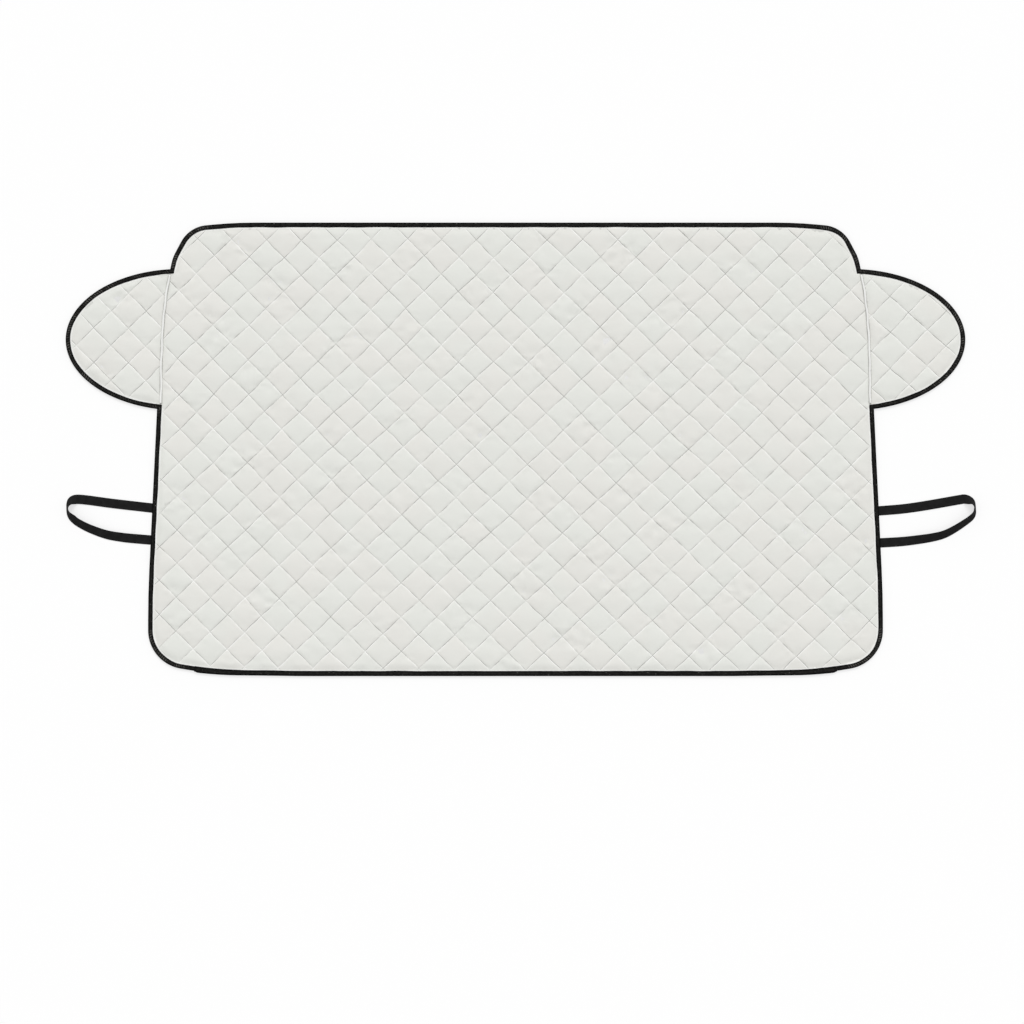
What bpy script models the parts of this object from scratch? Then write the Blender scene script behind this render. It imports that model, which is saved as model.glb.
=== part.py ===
"""Quilted windscreen frost cover, lying flat with its quilted face up.

Metres, +X to the right, +Y towards the edge that lies along the roof, +Z up. The origin is on the floor,
under the middle of the main panel.
"""

import math

import bmesh
import bpy
from mathutils import Matrix, Vector

# Finished edge of the cover
PANEL_WIDTH = 1.4686
PANEL_HEIGHT = 0.9060
EAR_SPAN = 1.7980
EAR_REACH = 0.2288  # from the middle of the ear's ellipse to its tip
EAR_HALF_HEIGHT = 0.1414
EAR_CENTRE_Y = 0.2190
UPPER_NOTCH_INSET = 0.0443  # how far inside the panel's widest side each notch lies
LOWER_NOTCH_INSET = 0.0179

# Corners of each half: inset from the widest side, distance from the top or bottom edge, radius
SHOULDER_CORNERS = ((0.1723, 0.0, 0.880), (0.0819, 0.0086, 0.075), (0.0492, 0.0701, 0.205))
FLANK_CORNERS = ((0.0, 0.1617, 2.1), (0.0, 0.0253, 0.078), (0.1345, 0.0030, 0.66), (0.3060, 0.0, 2.0))
CORNER_SHARE = 0.49  # the most of a side that the rounding of one corner takes

# Layers, from the floor up
GAP = 0.0003
TAPE = 0.0010
LINING = 0.0006
WADDING_AT_EDGE = 0.0010
SHELL = 0.0006
PUFF = 0.0035  # height of a quilted diamond over its stitch line
SHELL_AT_CROWN = 0.0011

# Binding tape
BINDING_WIDTH = 0.0094
FOLD_CHAMFER = 0.0010
BOTTOM_BINDING_WIDTH = 0.0100
BOTTOM_BINDING_SPAN = 1.2840
BOTTOM_BINDING_PROUD = 0.0004
LAP_PROUD = 0.0026  # how much further the ends of the bottom binding stand out
LAP_POWER = 8  # how late along its length they start to

# Seams between the main panel and the ears
SEAM_LOWER_INSET = 0.0066  # how far inside the lower notch's cut corner the seam comes down
SEAM_POWER = 3  # how late on its way up it leans in
SEAM_MARGIN = 0.0030
PIPING_WIDTH = 0.0040
PIPING_HEIGHT = 0.0024
PIPING_SECTION = ((1.0, 0.0), (1.0, 0.35), (0.7, 0.8), (0.0, 1.0))  # one half, in shares of its size

# Quilting: a diamond's width and height, and one crossing of its stitch lines
MAIN_DIAMOND = (0.0707, 0.0684)
MAIN_CROSSING = (-0.0070, 0.4162)
EAR_DIAMOND = (0.0707, 0.0696)
LEFT_EAR_CROSSING = (-0.8078, 0.2777)
RIGHT_EAR_CROSSING = (0.7866, 0.2689)
BEVEL_SHARE = 0.26  # how much of the way to its middle a diamond takes to rise
SMALLEST_PILLOW = 0.0030  # a scrap narrower than this stays flat
JOGGLE = 0.0060  # run over which the lining comes down from the tape to the floor

# Webbing loops: points on the middle line, as reach from the panel's edge and place along Y
WEBBING_WIDTH = 0.0190
WEBBING = 0.0010
SEWN_LENGTH = 0.0088
SLOT_PAST_END = 0.0020  # how far the tape's slot runs on past the webbing's end
LEFT_LOOP = (
    (0.0000, -0.1176), (0.0361, -0.1135), (0.0841, -0.1079), (0.1321, -0.1015), (0.1525, -0.0998),
    (0.1640, -0.1022), (0.1697, -0.1075), (0.1721, -0.1145), (0.1704, -0.1210), (0.1660, -0.1290),
    (0.1578, -0.1385), (0.1466, -0.1466), (0.1220, -0.1589), (0.0895, -0.1704), (0.0570, -0.1762),
    (0.0250, -0.1794), (0.0000, -0.1815),
)
RIGHT_LOOP = (
    (0.0000, -0.1232), (0.0437, -0.1197), (0.0757, -0.1156), (0.1079, -0.1104), (0.1401, -0.1048),
    (0.1643, -0.1006), (0.1745, -0.0996), (0.1840, -0.1022), (0.1897, -0.1080), (0.1920, -0.1160),
    (0.1908, -0.1230), (0.1857, -0.1318), (0.1765, -0.1413), (0.1540, -0.1566), (0.1297, -0.1693),
    (0.1053, -0.1760), (0.0731, -0.1810), (0.0409, -0.1847), (0.0000, -0.1872),
)
ON_EDGE = 0.002  # length either side of the far end where the webbing stands on its edge
TWIST_RUN = 0.028  # the upper run turns on edge over this length
UNTWIST_RUN = 0.030  # the lower run comes down to its lean over this one
LEFT_LEAN = math.radians(40)  # how far the lower run still leans there; it lies flat where it is sewn
RIGHT_LEAN = math.radians(52)

# Fineness of the round shapes
ARC_STEP = math.radians(11.0)
EAR_STEPS = 20
SEAM_STEPS = 6
PIPING_STEPS = 8
LOOP_SPAN_STEPS = 2
SHARP_ANGLE = math.radians(40)
NEARLY_STRAIGHT = 0.3  # sine of the turn below which two edges count as one line

# Heights that follow from the layers
LINING_EDGE_Z = TAPE + GAP
WADDING_EDGE_Z = LINING_EDGE_Z + LINING + GAP
STITCHED_WADDING_Z = WADDING_EDGE_Z + WADDING_AT_EDGE
SHELL_BACK_Z = STITCHED_WADDING_Z + GAP
SHELL_Z = SHELL_BACK_Z + SHELL
UPPER_TAPE_Z = SHELL_Z + GAP
BINDING_HEIGHT = UPPER_TAPE_Z + TAPE

# Distances in from the finished edge, and along a seam
CUT_EDGE = TAPE + GAP
QUILT_MARGIN = max(BINDING_WIDTH, BOTTOM_BINDING_WIDTH) + GAP - CUT_EDGE
TAPE_END = QUILT_MARGIN + TAPE  # the ear's tape lies over the seam up to here
SEAM_TAPER = 0.0020


# Lines on the flat


def rounded(corners):
    """Points of an open chain of (x, y, radius) corners, each rounded as far as its sides allow."""
    points = [Vector(corners[0][:2])]
    for before, (x, y, radius), after in zip(corners, corners[1:], corners[2:]):
        corner = Vector((x, y))
        back = Vector(before[:2]) - corner
        ahead = Vector(after[:2]) - corner
        half_turn = (math.pi - back.angle(ahead)) / 2
        tangent = min(radius * math.tan(half_turn), CORNER_SHARE * back.length, CORNER_SHARE * ahead.length)
        true_radius = tangent / math.tan(half_turn)
        bisector = (back.normalized() + ahead.normalized()).normalized()
        centre = corner + bisector * true_radius / math.cos(half_turn)
        spoke = corner + back.normalized() * tangent - centre
        steps = max(2, math.ceil(2 * half_turn / ARC_STEP))
        turned = math.copysign(2 * half_turn, back.x * ahead.y - back.y * ahead.x)
        for step in range(steps + 1):
            points.append(centre + Matrix.Rotation(-turned * step / steps, 2) @ spoke)
    points.append(Vector(corners[-1][:2]))
    return points


def ear_centre_x():
    return EAR_SPAN / 2 - EAR_REACH


def ear_angle(x):
    """Angle on the ear's ellipse at which it passes x."""
    return math.acos((x - ear_centre_x()) / EAR_REACH)


def on_ear(angle):
    x = ear_centre_x() + EAR_REACH * math.cos(angle)
    return Vector((x, EAR_CENTRE_Y + EAR_HALF_HEIGHT * math.sin(angle)))


def right_half():
    """The finished edge from the bottom's middle round the right side to the top's, in three stretches."""
    side = PANEL_WIDTH / 2
    lowest = -ear_angle(side - LOWER_NOTCH_INSET)
    highest = ear_angle(side - UPPER_NOTCH_INSET)
    ear = [on_ear(lowest + (highest - lowest) * step / EAR_STEPS) for step in range(EAR_STEPS + 1)]
    bottom = -PANEL_HEIGHT / 2
    top = PANEL_HEIGHT / 2
    flank = [(side - inset, bottom + up, radius) for inset, up, radius in reversed(FLANK_CORNERS)]
    shoulder = [(side - inset, top - down, radius) for inset, down, radius in reversed(SHOULDER_CORNERS)]
    flank = rounded([(0.0, bottom, 0.0), *flank, (*ear[0], 0.0)])
    shoulder = rounded([(*ear[-1], 0.0), *shoulder, (0.0, top, 0.0)])
    return flank, ear, shoulder


def mirrored(points):
    return [Vector((-point.x, point.y)) for point in reversed(points)]


def inward(before, after):
    """Unit normals on the left of the two stretches that meet at a point."""
    return Vector((-before.y, before.x)).normalized(), Vector((-after.y, after.x)).normalized()


def offset_point(point, before, after, distance_before, distance_after):
    """Where two edges meet once each has moved to its left. Nearly in line, the larger move counts."""
    first, second = inward(before, after)
    cross = first.x * second.y - first.y * second.x
    if abs(cross) > NEARLY_STRAIGHT:
        x = (distance_before * second.y - distance_after * first.y) / cross
        y = (distance_after * first.x - distance_before * second.x) / cross
        return point + Vector((x, y))
    mean = (first + second).normalized()
    return point + mean * max(distance_before, distance_after) / mean.dot(first)


def inset(loop, distances):
    """A closed loop moved to its left, by one distance for each edge that starts at its point."""
    moved = []
    for i, point in enumerate(loop):
        before = point - loop[i - 1]
        after = loop[(i + 1) % len(loop)] - point
        moved.append(offset_point(point, before, after, distances[i - 1], distances[i]))
    return moved


def seam_line(low, high, reaches):
    """Points of a seam at these heights over its lower corner. It leans in late, towards its upper one."""
    x = low.x - math.copysign(SEAM_LOWER_INSET, low.x)
    length = high.y - low.y
    return [Vector((x + (high.x - x) * (reach / length) ** SEAM_POWER, low.y + reach)) for reach in reaches]


def spread(first, last, steps):
    return [first + (last - first) * step / steps for step in range(steps + 1)]


class Panel:
    """One cut of the cover as three closed loops: its cut edge, the quilting's edge, the joggle's end."""

    def __init__(self, stretches):
        self.cut = []
        quilt = []
        floor = []
        for points, quilt_margins, floor_margins in stretches:
            self.cut += points
            quilt += quilt_margins
            floor += floor_margins
        self.quilted = inset(self.cut, quilt)
        self.floor = inset(self.cut, floor)


def bound(points):
    """A stretch of panel edge that the tape covers."""
    floor = QUILT_MARGIN + JOGGLE
    return points, [QUILT_MARGIN] * len(points), [floor] * len(points)


def seamed(points, passes_tape):
    """A stretch of panel edge in a seam. The main panel's passes under the ear's tape at both ends."""
    quilt = [SEAM_MARGIN] * len(points)
    floor = [SEAM_MARGIN + JOGGLE / 2] * len(points)
    if passes_tape:
        for i in (0, -2, -1):
            quilt[i] = QUILT_MARGIN
            floor[i] = QUILT_MARGIN + JOGGLE
    return points, quilt, floor


def shifted(points, x):
    return [Vector((point.x + x, point.y)) for point in points]


def ear_panel(cut, first, last, seam, hair):
    """An ear: its cut edge from where that leaves the seam to where it comes back, then the seam."""
    edge = shifted([cut[first]], hair) + cut[first + 1:last]
    return Panel([bound(edge), seamed(shifted([cut[last], *seam], hair), False)])


def seam_ends(cut, notches):
    """The lower and upper cut corner of the right seam, and of the left one."""
    low, high, left_high, left_low = notches
    return (cut[low], cut[high]), (cut[left_low], cut[left_high])


def panels():
    """The main panel and both ears, cut from one outline along the seams."""
    flank, ear, shoulder = right_half()
    edge = flank + ear[1:] + shoulder[1:]
    edge = edge[:-1] + mirrored(edge)[:-1]
    cut = inset(edge, [CUT_EDGE] * len(edge))
    low = len(flank) - 1
    high = low + len(ear) - 1
    half = len(flank) + len(ear) + len(shoulder) - 3
    left_high = 2 * half - high
    left_low = 2 * half - low
    notches = (low, high, left_high, left_low)
    length = cut[high].y - cut[low].y
    under_tape = (TAPE_END, TAPE_END + SEAM_TAPER)
    past_tape = TAPE_END + 2 * SEAM_TAPER
    middle = spread(past_tape, length - past_tape, SEAM_STEPS)
    main_reaches = [*under_tape, *middle, *(length - reach for reach in reversed(under_tape))]
    past_joggle = QUILT_MARGIN + JOGGLE + SEAM_TAPER
    ear_reaches = spread(past_joggle, length - past_joggle, SEAM_STEPS)
    right_seam, left_seam = (seam_line(*ends, main_reaches) for ends in seam_ends(cut, notches))
    right_ear_seam, left_ear_seam = (seam_line(*ends, ear_reaches) for ends in seam_ends(cut, notches))
    hair = GAP / 2

    lower_right = cut[:low] + shifted([cut[low]], -hair)
    top = shifted([cut[high]], -hair) + cut[high + 1:left_high] + shifted([cut[left_high]], hair)
    lower_left = shifted([cut[left_low]], hair) + cut[left_low + 1:]
    main = Panel([
        bound(lower_right),
        seamed(shifted(right_seam, -hair), True),
        bound(top),
        seamed(shifted(left_seam[::-1], hair), True),
        bound(lower_left),
    ])
    right_ear = ear_panel(cut, low, high, right_ear_seam[::-1], hair)
    left_ear = ear_panel(cut, left_high, left_low, left_ear_seam, -hair)
    return edge, seam_ends(cut, notches), main, left_ear, right_ear


# Quilting


def stitch_lines(loop, diamond, crossing):
    """A point on each stitch line that reaches the loop, with the line's normal."""
    width, height = diamond
    across, up = crossing
    lines = []
    for slant in (1, -1):
        reaches = [(point.x - across) / width + slant * (point.y - up) / height for point in loop]
        for line in range(math.ceil(min(reaches)), math.floor(max(reaches)) + 1):
            through = (across + line * width, up, 0.0)
            lines.append((through, Vector((1 / width, slant / height, 0.0)).normalized()))
    return lines


class QuiltPlan:
    """A panel seen from above: its points, the flat border's faces and the cells between stitch lines."""

    def __init__(self, panel, diamond, crossing):
        plan = bmesh.new()
        is_cell = plan.faces.layers.int.new("is_cell")
        outer = [plan.verts.new((*point, 0.0)) for point in panel.cut]
        inner = [plan.verts.new((*point, 0.0)) for point in panel.quilted]
        count = len(outer)
        for i in range(count):
            after = (i + 1) % count
            plan.faces.new((outer[i], outer[after], inner[after], inner[i]))
        plan.faces.new(inner)[is_cell] = 1
        for through, normal in stitch_lines(panel.quilted, diamond, crossing):
            cells = [face for face in plan.faces if face[is_cell]]
            edges = list({edge for face in cells for edge in face.edges})
            verts = list({vert for face in cells for vert in face.verts})
            geometry = cells + edges + verts
            bmesh.ops.bisect_plane(plan, geom=geometry, dist=GAP, plane_co=through, plane_no=normal)
        merging = [vert for vert in plan.verts if vert not in set(outer)]
        bmesh.ops.remove_doubles(plan, verts=merging, dist=2 * GAP)
        plan.verts.index_update()
        self.points = [Vector(vert.co[:2]) for vert in plan.verts]
        self.rim = [vert.index for vert in outer]
        self.border = [[vert.index for vert in face.verts] for face in plan.faces if not face[is_cell]]
        self.cells = [[vert.index for vert in face.verts] for face in plan.faces if face[is_cell]]
        width, height = diamond
        corners = ((width / 2, 0.0), (0.0, height / 2), (-width / 2, 0.0), (0.0, -height / 2))
        self.full_width = inner_width([Vector(corner) for corner in corners])
        plan.free()


def measures(polygon):
    """Area, centre and perimeter of a flat polygon."""
    area = 0.0
    perimeter = 0.0
    centre = Vector((0.0, 0.0))
    origin = polygon[0]
    for here, there in zip(polygon, polygon[1:] + polygon[:1]):
        a = here - origin
        b = there - origin
        piece = (a.x * b.y - a.y * b.x) / 2
        area += piece
        centre += (a + b) / 3 * piece
        perimeter += (there - here).length
    return area, origin + centre / area if area > 0 else origin, perimeter


def inner_width(polygon):
    """Width of the circle that a polygon of this area and perimeter holds."""
    area, _, perimeter = measures(polygon)
    return 4 * area / perimeter


class Solid:
    """Points and faces of one closed solid, gathered before they become a mesh."""

    def __init__(self):
        self.points = []
        self.faces = []

    def loop(self, points, z):
        """Adds points at one height and gives their numbers."""
        start = len(self.points)
        self.points += [(point.x, point.y, z) for point in points]
        return list(range(start, len(self.points)))

    def band(self, outer, inner, turned=False):
        """Triangles between two loops of equally many points, split alike on both sides of a layer."""
        for i in range(len(outer)):
            after = (i + 1) % len(outer)
            for face in ((outer[i], outer[after], inner[after]), (outer[i], inner[after], inner[i])):
                self.faces.append(face[::-1] if turned else face)

    def fan(self, rim, centre):
        for here, there in zip(rim, rim[1:] + rim[:1]):
            self.faces.append((here, there, centre))


def puff_share(plan, cell):
    """How high a cell rises: from 0, for a scrap or a hooked cell, to 1 for a whole diamond."""
    polygon = [plan.points[i] for i in cell]
    centre = measures(polygon)[1]
    spokes = [point - centre for point in polygon]
    hooked = any(a.x * b.y - a.y * b.x <= 0 for a, b in zip(spokes, spokes[1:] + spokes[:1]))
    width = inner_width(polygon)
    return 0.0 if hooked or width < SMALLEST_PILLOW else min(1.0, width / plan.full_width)


def cell_centre(plan, cell):
    return measures([plan.points[i] for i in cell])[1]


def tent_height(share):
    """Height of the shell's back over its stitched level, in the middle of a cell."""
    return max(0.0, SHELL + PUFF * share - SHELL_AT_CROWN)


def quilted_shell(plan):
    """The outer fabric: diamonds that rise from sunk stitch lines, hollow underneath."""
    solid = Solid()
    top = solid.loop(plan.points, SHELL_Z)
    back = solid.loop(plan.points, SHELL_BACK_Z)
    for face in plan.border:
        solid.faces.append([top[i] for i in face])
        solid.faces.append([back[i] for i in reversed(face)])
    for cell in plan.cells:
        share = puff_share(plan, cell)
        rim = [top[i] for i in cell]
        under = [back[i] for i in reversed(cell)]
        if not share:
            solid.faces += [rim, under]
            continue
        centre = cell_centre(plan, cell)
        crown = [plan.points[i].lerp(centre, BEVEL_SHARE) for i in cell]
        crown = solid.loop(crown, SHELL_Z + PUFF * share)
        solid.band(rim, crown)
        solid.faces.append(crown)
        solid.fan(under, solid.loop([centre], SHELL_BACK_Z + tent_height(share))[0])
    solid.band([back[i] for i in plan.rim], [top[i] for i in plan.rim])
    return solid


def padding(plan, panel):
    """The wadding: it fills the shell's diamonds and lies on the lining."""
    solid = Solid()
    top = solid.loop(plan.points, STITCHED_WADDING_Z)
    solid.faces += [[top[i] for i in face] for face in plan.border]
    for cell in plan.cells:
        rim = [top[i] for i in cell]
        share = puff_share(plan, cell)
        if share:
            centre = solid.loop([cell_centre(plan, cell)], STITCHED_WADDING_Z + tent_height(share))[0]
            solid.fan(rim, centre)
        else:
            solid.faces.append(rim)
    cut = solid.loop(panel.cut, WADDING_EDGE_Z)
    quilted = solid.loop(panel.quilted, WADDING_EDGE_Z)
    floor = solid.loop(panel.floor, LINING + GAP)
    solid.band(cut, [top[i] for i in plan.rim])
    solid.band(cut, quilted, turned=True)
    solid.band(quilted, floor, turned=True)
    solid.faces.append(floor[::-1])
    return solid


def lining(panel):
    """The plain backing: on the floor in the middle, raised over the tape's lower leg round its edge."""
    solid = Solid()
    backs = []
    for z, upward in ((0.0, False), (LINING, True)):
        cut = solid.loop(panel.cut, LINING_EDGE_Z + z)
        quilted = solid.loop(panel.quilted, LINING_EDGE_Z + z)
        floor = solid.loop(panel.floor, z)
        solid.band(cut, quilted, turned=not upward)
        solid.band(quilted, floor, turned=not upward)
        solid.faces.append(floor if upward else floor[::-1])
        backs.append(cut)
    solid.band(*backs)
    return solid


# Swept pieces


def swept(sections):
    """A solid through equally many-sided sections, each anticlockwise as seen from where it is going."""
    solid = Solid()
    rings = []
    for section in sections:
        start = len(solid.points)
        solid.points += [tuple(point) for point in section]
        rings.append(list(range(start, len(solid.points))))
    for here, there in zip(rings, rings[1:]):
        solid.band(here, there)
    solid.faces += [rings[0][::-1], rings[-1]]
    return solid


def tape_section(width, proud):
    """The folded tape, as distances in from the finished edge and heights."""
    outer = -proud
    inner = outer + TAPE
    return (
        (width, 0.0), (width, TAPE), (inner, TAPE), (inner, UPPER_TAPE_Z),
        (width, UPPER_TAPE_Z), (width, BINDING_HEIGHT), (outer + FOLD_CHAMFER, BINDING_HEIGHT),
        (outer, BINDING_HEIGHT - FOLD_CHAMFER), (outer, FOLD_CHAMFER), (outer + FOLD_CHAMFER, 0.0),
    )


def folded_tape(path, width, proud):
    """Tape folded over the cover's edge along a path that has the cover on its left."""
    sections = []
    for i, point in enumerate(path):
        before = point - path[i - 1] if i else path[1] - point
        after = path[i + 1] - point if i + 1 < len(path) else before
        first, second = inward(before, after)
        mitre = (first + second) / (1 + first.dot(second))
        section = tape_section(width, proud(point))
        sections.append([(*(point + mitre * distance), z) for distance, z in section])
    return swept(sections)


def cut_at(points, x):
    """The chain split in two where it passes x, with that point in both halves."""
    for i, (here, there) in enumerate(zip(points, points[1:])):
        if (here.x - x) * (there.x - x) <= 0:
            middle = here.lerp(there, (x - here.x) / (there.x - here.x))
            return points[:i + 1] + [middle], [middle] + points[i + 1:]
    raise ValueError("the chain doesn't pass this x")


def binding_paths(edge):
    """The bottom binding's path and the perimeter binding's path, each with the cover on its left."""
    half = len(edge) // 2
    right = edge[:half + 1]
    lap = BOTTOM_BINDING_SPAN / 2
    bottom_right = cut_at(right, lap)[0]
    perimeter_right = cut_at(right, lap + GAP)[1]
    bottom = mirrored(bottom_right)[:-1] + bottom_right
    perimeter = perimeter_right + mirrored(perimeter_right)[1:]
    return bottom, perimeter


def bottom_proud(point):
    return BOTTOM_BINDING_PROUD + LAP_PROUD * abs(2 * point.x / BOTTOM_BINDING_SPAN) ** LAP_POWER


def piping(low, high):
    """The bead on top of a seam, between the tapes at its two ends."""
    line = seam_line(low, high, spread(TAPE_END, high.y - low.y - TAPE_END, PIPING_STEPS))
    whole = PIPING_SECTION + tuple((-across, up) for across, up in PIPING_SECTION[-2::-1])
    shape = [(across * PIPING_WIDTH / 2, UPPER_TAPE_Z + up * PIPING_HEIGHT) for across, up in whole]
    sections = []
    for i, point in enumerate(line):
        along = line[min(i + 1, len(line) - 1)] - line[max(i - 1, 0)]
        right = Vector((along.y, -along.x)).normalized()
        sections.append([(*(point + right * across), z) for across, z in shape])
    return swept(sections)


def flank_x(flank, y):
    """How far out the finished edge is at this height of the lower side."""
    for here, there in zip(flank, flank[1:]):
        if here.y <= y < there.y:
            return here.lerp(there, (y - here.y) / (there.y - here.y)).x
    raise ValueError("the loop isn't on the lower side")


def smooth_through(points, steps):
    """A Catmull-Rom curve through the points."""
    padded = [2 * points[0] - points[1], *points, 2 * points[-1] - points[-2]]
    curve = []
    for a, b, c, d in zip(padded, padded[1:], padded[2:], padded[3:]):
        for step in range(steps):
            t = step / steps
            bend = (2 * a - 5 * b + 4 * c - d) * t**2 + (3 * b - a - 3 * c + d) * t**3
            curve.append(b + ((c - a) * t + bend) / 2)
    return curve + [points[-1]]


def loop_line(flank, route, side):
    """The webbing's middle line on the floor, from its upper sewn end to its lower one."""
    points = [Vector((side * (flank_x(flank, y) + reach), y)) for reach, y in route]
    first = points[0] + (points[0] - points[1]).normalized() * SEWN_LENGTH
    last = points[-1] + (points[-1] - points[-2]).normalized() * SEWN_LENGTH
    line = smooth_through(points, LOOP_SPAN_STEPS)
    return [first, *line, last]


def smooth_step(x):
    x = min(1.0, max(0.0, x))
    return x * x * (3 - 2 * x)


def webbing(line, side, lean):
    """Webbing along the line: flat where it is sewn, on its edge at the far turn, leaning after it."""
    travelled = [0.0]
    for here, there in zip(line, line[1:]):
        travelled.append(travelled[-1] + (there - here).length)
    tip = travelled[max(range(len(line)), key=lambda i: side * line[i].x)]
    sections = []
    for i, point in enumerate(line):
        along = (line[min(i + 1, len(line) - 1)] - line[max(i - 1, 0)]).normalized()
        outside = Vector((-along.y, along.x, 0.0)) * side
        rising = smooth_step((travelled[i] - tip + ON_EDGE + TWIST_RUN) / TWIST_RUN)
        falling = smooth_step((travelled[i] - tip - ON_EDGE) / UNTWIST_RUN)
        left_to_go = (travelled[-2] - travelled[i]) / (travelled[-2] - tip)
        leaning = lean * max(0.0, min(1.0, left_to_go))
        roll = math.pi / 2 * (rising - falling) + leaning * falling
        face = Vector((0.0, 0.0, math.cos(roll))) + outside * math.sin(roll)
        width = Vector((*along, 0.0)).cross(face)
        z = (WEBBING_WIDTH * math.sin(roll) + WEBBING * math.cos(roll)) / 2
        centre = Vector((*point, z))
        half_width = width * WEBBING_WIDTH / 2
        half_face = face * WEBBING / 2
        corners = ((1, -1), (1, 1), (-1, 1), (-1, -1))
        sections.append([centre + half_width * across + half_face * up for across, up in corners])
    return swept(sections)


def slot_cutter(name, line, end):
    """A box that clears the tape's lower leg and fold where the webbing's end passes under it."""
    inner, outer = (line[0], line[1]) if end == 0 else (line[-1], line[-2])
    along = (outer - inner).normalized()
    across = Vector((-along.y, along.x)) * (WEBBING_WIDTH / 2 + GAP)
    near = inner - along * SLOT_PAST_END
    far = outer + along * BINDING_WIDTH
    corners = [near + across, near - across, far - across, far + across]
    solid = Solid()
    low = solid.loop(corners, -TAPE)
    high = solid.loop(corners, WEBBING + GAP)
    solid.faces += [low[::-1], high]
    solid.band(low, high)
    cutter = new_object(name, solid, None)
    cutter.hide_render = True
    cutter.display_type = "WIRE"
    return cutter


# Objects and materials


def finish(name, colour, roughness):
    material = bpy.data.materials.new(name)
    material.use_nodes = True
    shader = material.node_tree.nodes["Principled BSDF"]
    shader.inputs["Base Color"].default_value = (*colour, 1.0)
    shader.inputs["Roughness"].default_value = roughness
    shader.inputs["Metallic"].default_value = 0.0
    material.diffuse_color = (*colour, 1.0)
    return material


def new_object(name, solid, material, rounded_off=False):
    mesh = bpy.data.meshes.new(name)
    mesh.from_pydata(solid.points, [], solid.faces)
    shape = bmesh.new()
    shape.from_mesh(mesh)
    bmesh.ops.recalc_face_normals(shape, faces=shape.faces)
    shape.to_mesh(mesh)
    shape.free()
    if rounded_off:
        mesh.shade_smooth()
        mesh.set_sharp_from_angle(angle=SHARP_ANGLE)
    if material:
        mesh.materials.append(material)
    item = bpy.data.objects.new(name, mesh)
    bpy.context.scene.collection.objects.link(item)
    return item


def clear_scene():
    for item in list(bpy.data.objects):
        bpy.data.objects.remove(item, do_unlink=True)


def build():
    clear_scene()
    cover = bpy.data.objects.new("frost_cover", None)
    bpy.context.scene.collection.objects.link(cover)

    shell_fabric = finish("shell_fabric", (0.76, 0.77, 0.73), 0.75)
    wadding = finish("wadding", (0.86, 0.86, 0.85), 0.95)
    lining_fabric = finish("lining_fabric", (0.62, 0.63, 0.63), 0.85)
    binding_tape = finish("binding_tape", (0.014, 0.014, 0.015), 0.8)
    seam_piping = finish("seam_piping", (0.80, 0.81, 0.78), 0.7)
    elastic_webbing = finish("elastic_webbing", (0.016, 0.016, 0.018), 0.75)

    edge, (right_ends, left_ends), main, left_ear, right_ear = panels()
    flank = right_half()[0]

    made = []
    quilts = (
        ("main", main, MAIN_DIAMOND, MAIN_CROSSING),
        ("left_ear", left_ear, EAR_DIAMOND, LEFT_EAR_CROSSING),
        ("right_ear", right_ear, EAR_DIAMOND, RIGHT_EAR_CROSSING),
    )
    for name, panel, diamond, crossing in quilts:
        plan = QuiltPlan(panel, diamond, crossing)
        made.append(new_object(name + "_shell", quilted_shell(plan), shell_fabric))
        made.append(new_object(name + "_padding", padding(plan, panel), wadding))
        made.append(new_object(name + "_lining", lining(panel), lining_fabric))

    bottom_path, perimeter_path = binding_paths(edge)
    bottom = folded_tape(bottom_path, BOTTOM_BINDING_WIDTH, bottom_proud)
    made.append(new_object("bottom_binding", bottom, binding_tape, rounded_off=True))
    perimeter = folded_tape(perimeter_path, BINDING_WIDTH, lambda _: 0.0)
    perimeter = new_object("perimeter_binding", perimeter, binding_tape, rounded_off=True)
    made.append(perimeter)

    for name, ends in (("left", left_ends), ("right", right_ends)):
        made.append(new_object(name + "_seam_piping", piping(*ends), seam_piping, rounded_off=True))

    loops = (("left", LEFT_LOOP, -1, LEFT_LEAN), ("right", RIGHT_LOOP, 1, RIGHT_LEAN))
    for name, route, side, lean in loops:
        line = loop_line(flank, route, side)
        loop = webbing(line, side, lean)
        made.append(new_object(name + "_loop", loop, elastic_webbing, rounded_off=True))
        for end in (0, 1):
            cutter = slot_cutter(f"{name}_slot_{end + 1}", line, end)
            slot = perimeter.modifiers.new(cutter.name, "BOOLEAN")
            slot.operation = "DIFFERENCE"
            slot.object = cutter
            made.append(cutter)

    for item in made:
        item.parent = cover


build()
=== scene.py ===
"""Looks of the quilted windscreen frost cover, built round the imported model.

Metres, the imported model's own frame: +X along the cover's width, +Y towards the roof's edge, +Z up through the
quilted face. In plan, a point is the complex number x + iy, and outlines run anticlockwise.
"""

import cmath
import math
from functools import partialmethod

import bpy
import numpy as np
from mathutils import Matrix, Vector, geometry


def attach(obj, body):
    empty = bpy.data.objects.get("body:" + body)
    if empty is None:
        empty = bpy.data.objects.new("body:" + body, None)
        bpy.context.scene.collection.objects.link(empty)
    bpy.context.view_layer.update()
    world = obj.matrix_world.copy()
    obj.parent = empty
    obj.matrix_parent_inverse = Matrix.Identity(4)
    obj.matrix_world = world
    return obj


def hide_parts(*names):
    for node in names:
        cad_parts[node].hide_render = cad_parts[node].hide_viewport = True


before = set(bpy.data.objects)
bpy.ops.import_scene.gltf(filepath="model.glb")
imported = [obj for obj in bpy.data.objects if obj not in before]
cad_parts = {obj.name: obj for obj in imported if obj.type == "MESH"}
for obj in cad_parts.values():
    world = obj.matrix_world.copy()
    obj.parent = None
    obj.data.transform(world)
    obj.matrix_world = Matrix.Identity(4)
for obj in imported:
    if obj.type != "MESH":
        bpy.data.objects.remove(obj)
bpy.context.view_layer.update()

# Finished edge of the cover
PANEL_WIDTH = 1.4686
PANEL_HEIGHT = 0.9060
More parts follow.
